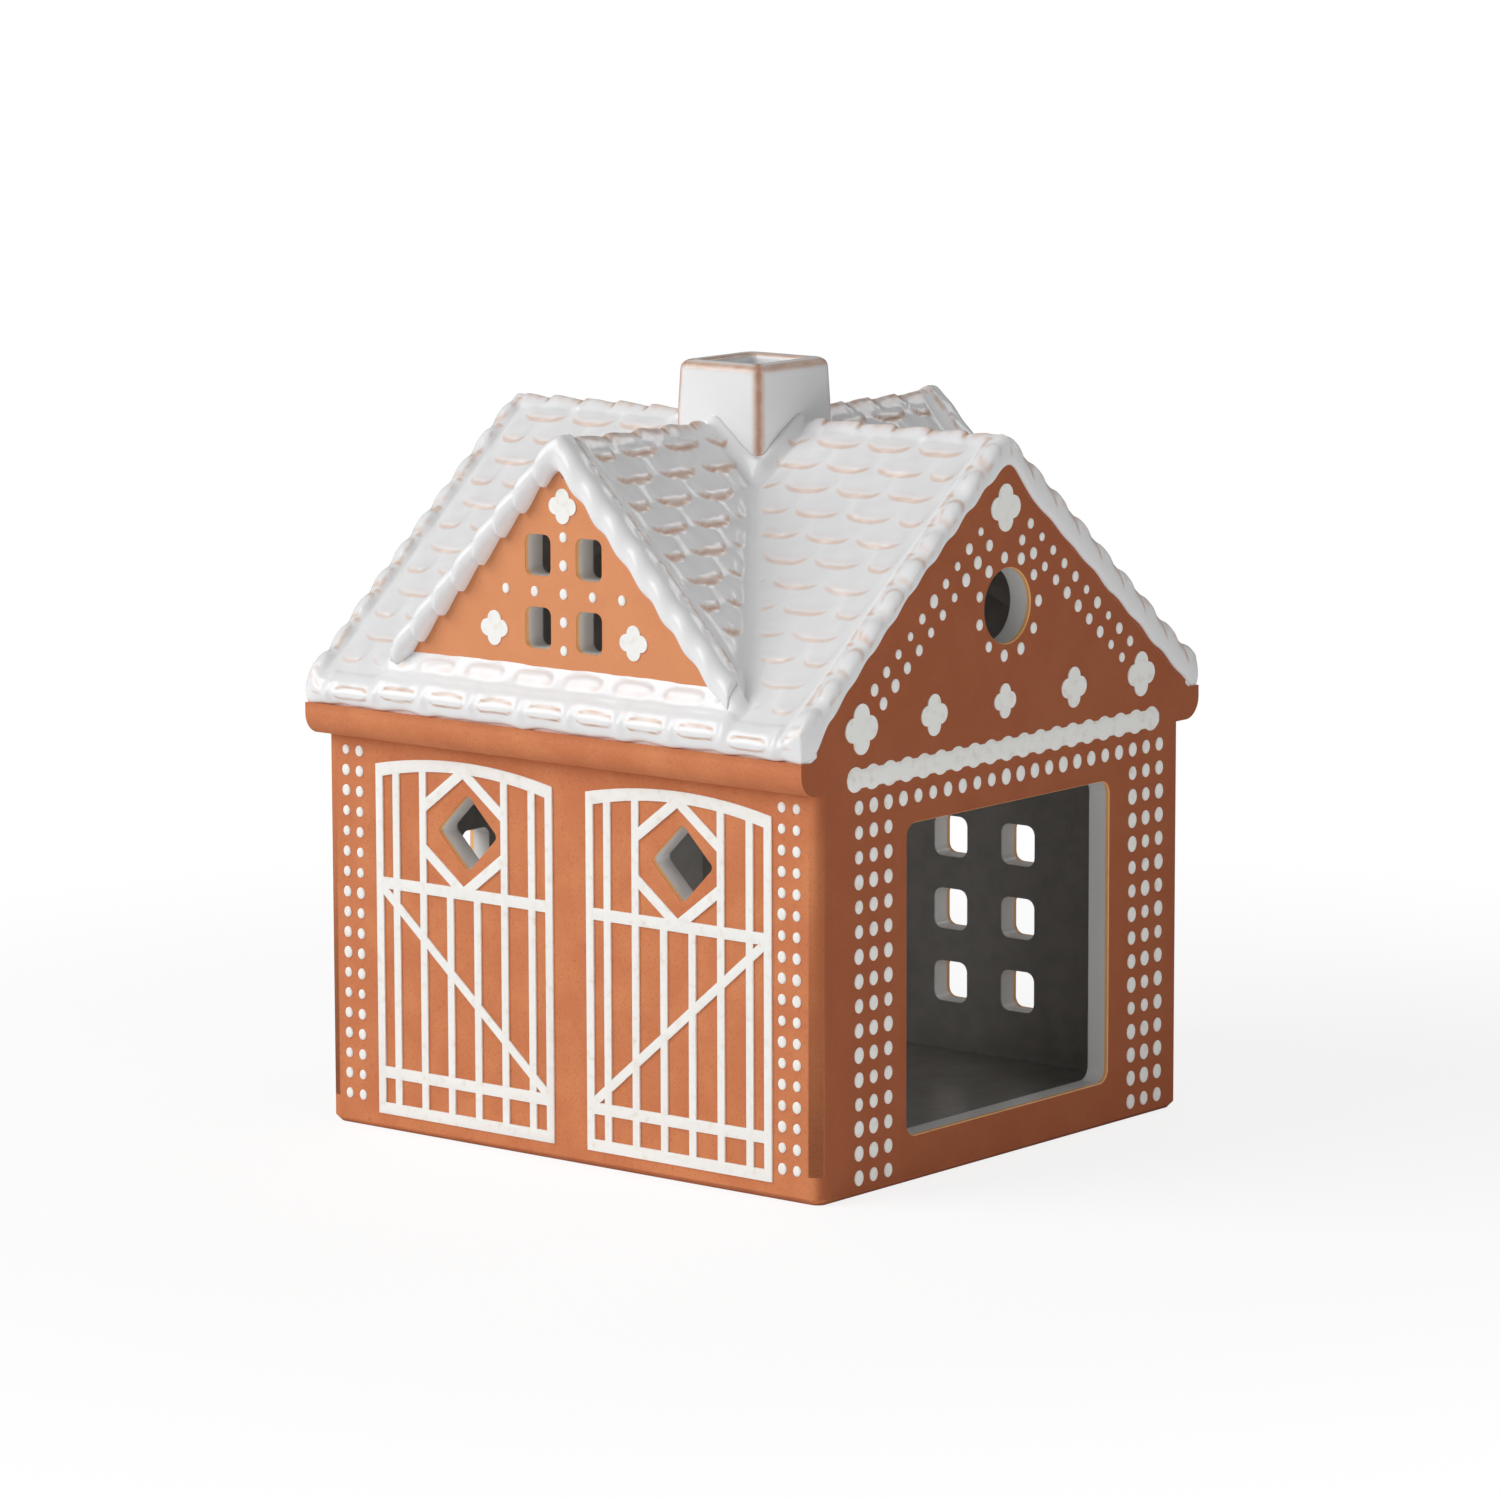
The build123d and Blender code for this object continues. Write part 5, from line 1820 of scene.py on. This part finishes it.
@dataclass
class Studio:
    """Camera, white sweep and soft lights."""

    azimuth: float = 39.154
    elevation: float = 9.172
    roll: float = -0.159
    distance: float = 1273.246
    aim_x: float = -1.206
    aim_z: float = 69.7
    focal_px: float = 6626.531
    image_px: float = 1500.0
    sensor: float = 36.0
    daylight: float = 0.23  # what the white surroundings give
    aim_height: float = 0.07  # height in metres that the lamps are aimed at
    sweep: float = 6.0  # side of the paper in metres
    lamps: tuple[tuple[str, tuple[float, float, float], float, float], ...] = (
        ("key", (-0.75, -1.05, 0.9), 1.15, 19.0),
        ("rim_light", (0.35, 1.1, 0.95), 0.35, 1.3),
        ("doorway_fill", (1.45, -0.3, 0.28), 0.8, 3.1),
        ("floor_bounce", (0.4, -0.14, 0.02), 0.14, 0.29),
    )

    def camera(self) -> None:
        """Set the camera at the photograph's place and angle."""
        az, el, ro = (math.radians(v) for v in (self.azimuth, self.elevation, self.roll))
        back = Vector((math.sin(az) * math.cos(el), -math.cos(az) * math.cos(el), math.sin(el)))
        level = (-back).cross(Vector((0, 0, 1))).normalized()
        upright = level.cross(-back)
        right = level * math.cos(ro) + upright * math.sin(ro)
        up = -level * math.sin(ro) + upright * math.cos(ro)
        place = (back * self.distance + right * self.aim_x + up * self.aim_z) * MM
        lens = bpy.data.cameras.new("camera")
        lens.sensor_width = self.sensor
        lens.lens = self.focal_px / self.image_px * self.sensor
        lens.clip_start = 0.05
        camera = bpy.data.objects.new("camera", lens)
        bpy.context.scene.collection.objects.link(camera)
        rows = [(right[i], up[i], back[i], place[i]) for i in range(3)]
        camera.matrix_world = Matrix((*rows, (0, 0, 0, 1)))
        bpy.context.scene.camera = camera

    def lamp(self, name: str, place: tuple[float, float, float], size: float, power: float) -> None:
        """A square soft lamp aimed at the house.

        Args:
            name: its name.
            place: its place in metres.
            size: its side in metres.
            power: its power in watts.
        """
        light = bpy.data.lights.new(name, "AREA")
        light.shape = "SQUARE"
        light.size = size
        light.energy = power
        lamp = bpy.data.objects.new(name, light)
        bpy.context.scene.collection.objects.link(lamp)
        aim = Vector((0, 0, self.aim_height)) - Vector(place)
        lamp.matrix_world = Matrix.Translation(place) @ aim.to_track_quat("-Z", "Y").to_matrix().to_4x4()

    def build(self) -> None:
        """Set the camera, the floor, the world and the lamps."""
        self.camera()
        deselect()
        bpy.ops.mesh.primitive_plane_add(size=self.sweep)
        floor = bpy.context.object
        floor.name = "floor"
        floor.data.materials.append(StudioPaper().make())
        world = bpy.data.worlds.new("studio")
        bpy.context.scene.world = world
        world.use_nodes = True
        tree = world.node_tree
        tree.nodes.clear()
        path = add_node(tree, "LightPath").outputs
        sight = [path["Is Camera Ray"], path["Is Transmission Ray"]]
        seen = add_node(tree, "Math", sight, operation="MAXIMUM")
        strength = add_node(tree, "Math", [seen, self.daylight], operation="MAXIMUM")
        sky = add_node(tree, "Background", {"Color": "FFFFFF", "Strength": strength})
        add_node(tree, "OutputWorld", {"Surface": sky})
        for lamp in self.lamps:
            self.lamp(*lamp)
        bpy.context.scene.view_settings.view_transform = "Standard"


def main() -> None:
    """Build the house piece by piece."""
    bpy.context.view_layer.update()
    glaze = WhiteGlaze().make()
    clay = HouseClay().make()
    slip = WhiteSlip().make()
    Studio().build()
    ClayBody(clay).build()
    GlazedRoof(glaze, clay).build()
    Chimney(glaze).build()
    SlipOrnament(slip).build()
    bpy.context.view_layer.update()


if __name__ == "__main__":
    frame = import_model()
    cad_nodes: dict[str, bpy.types.Object] = frame["nodes"]
    main()
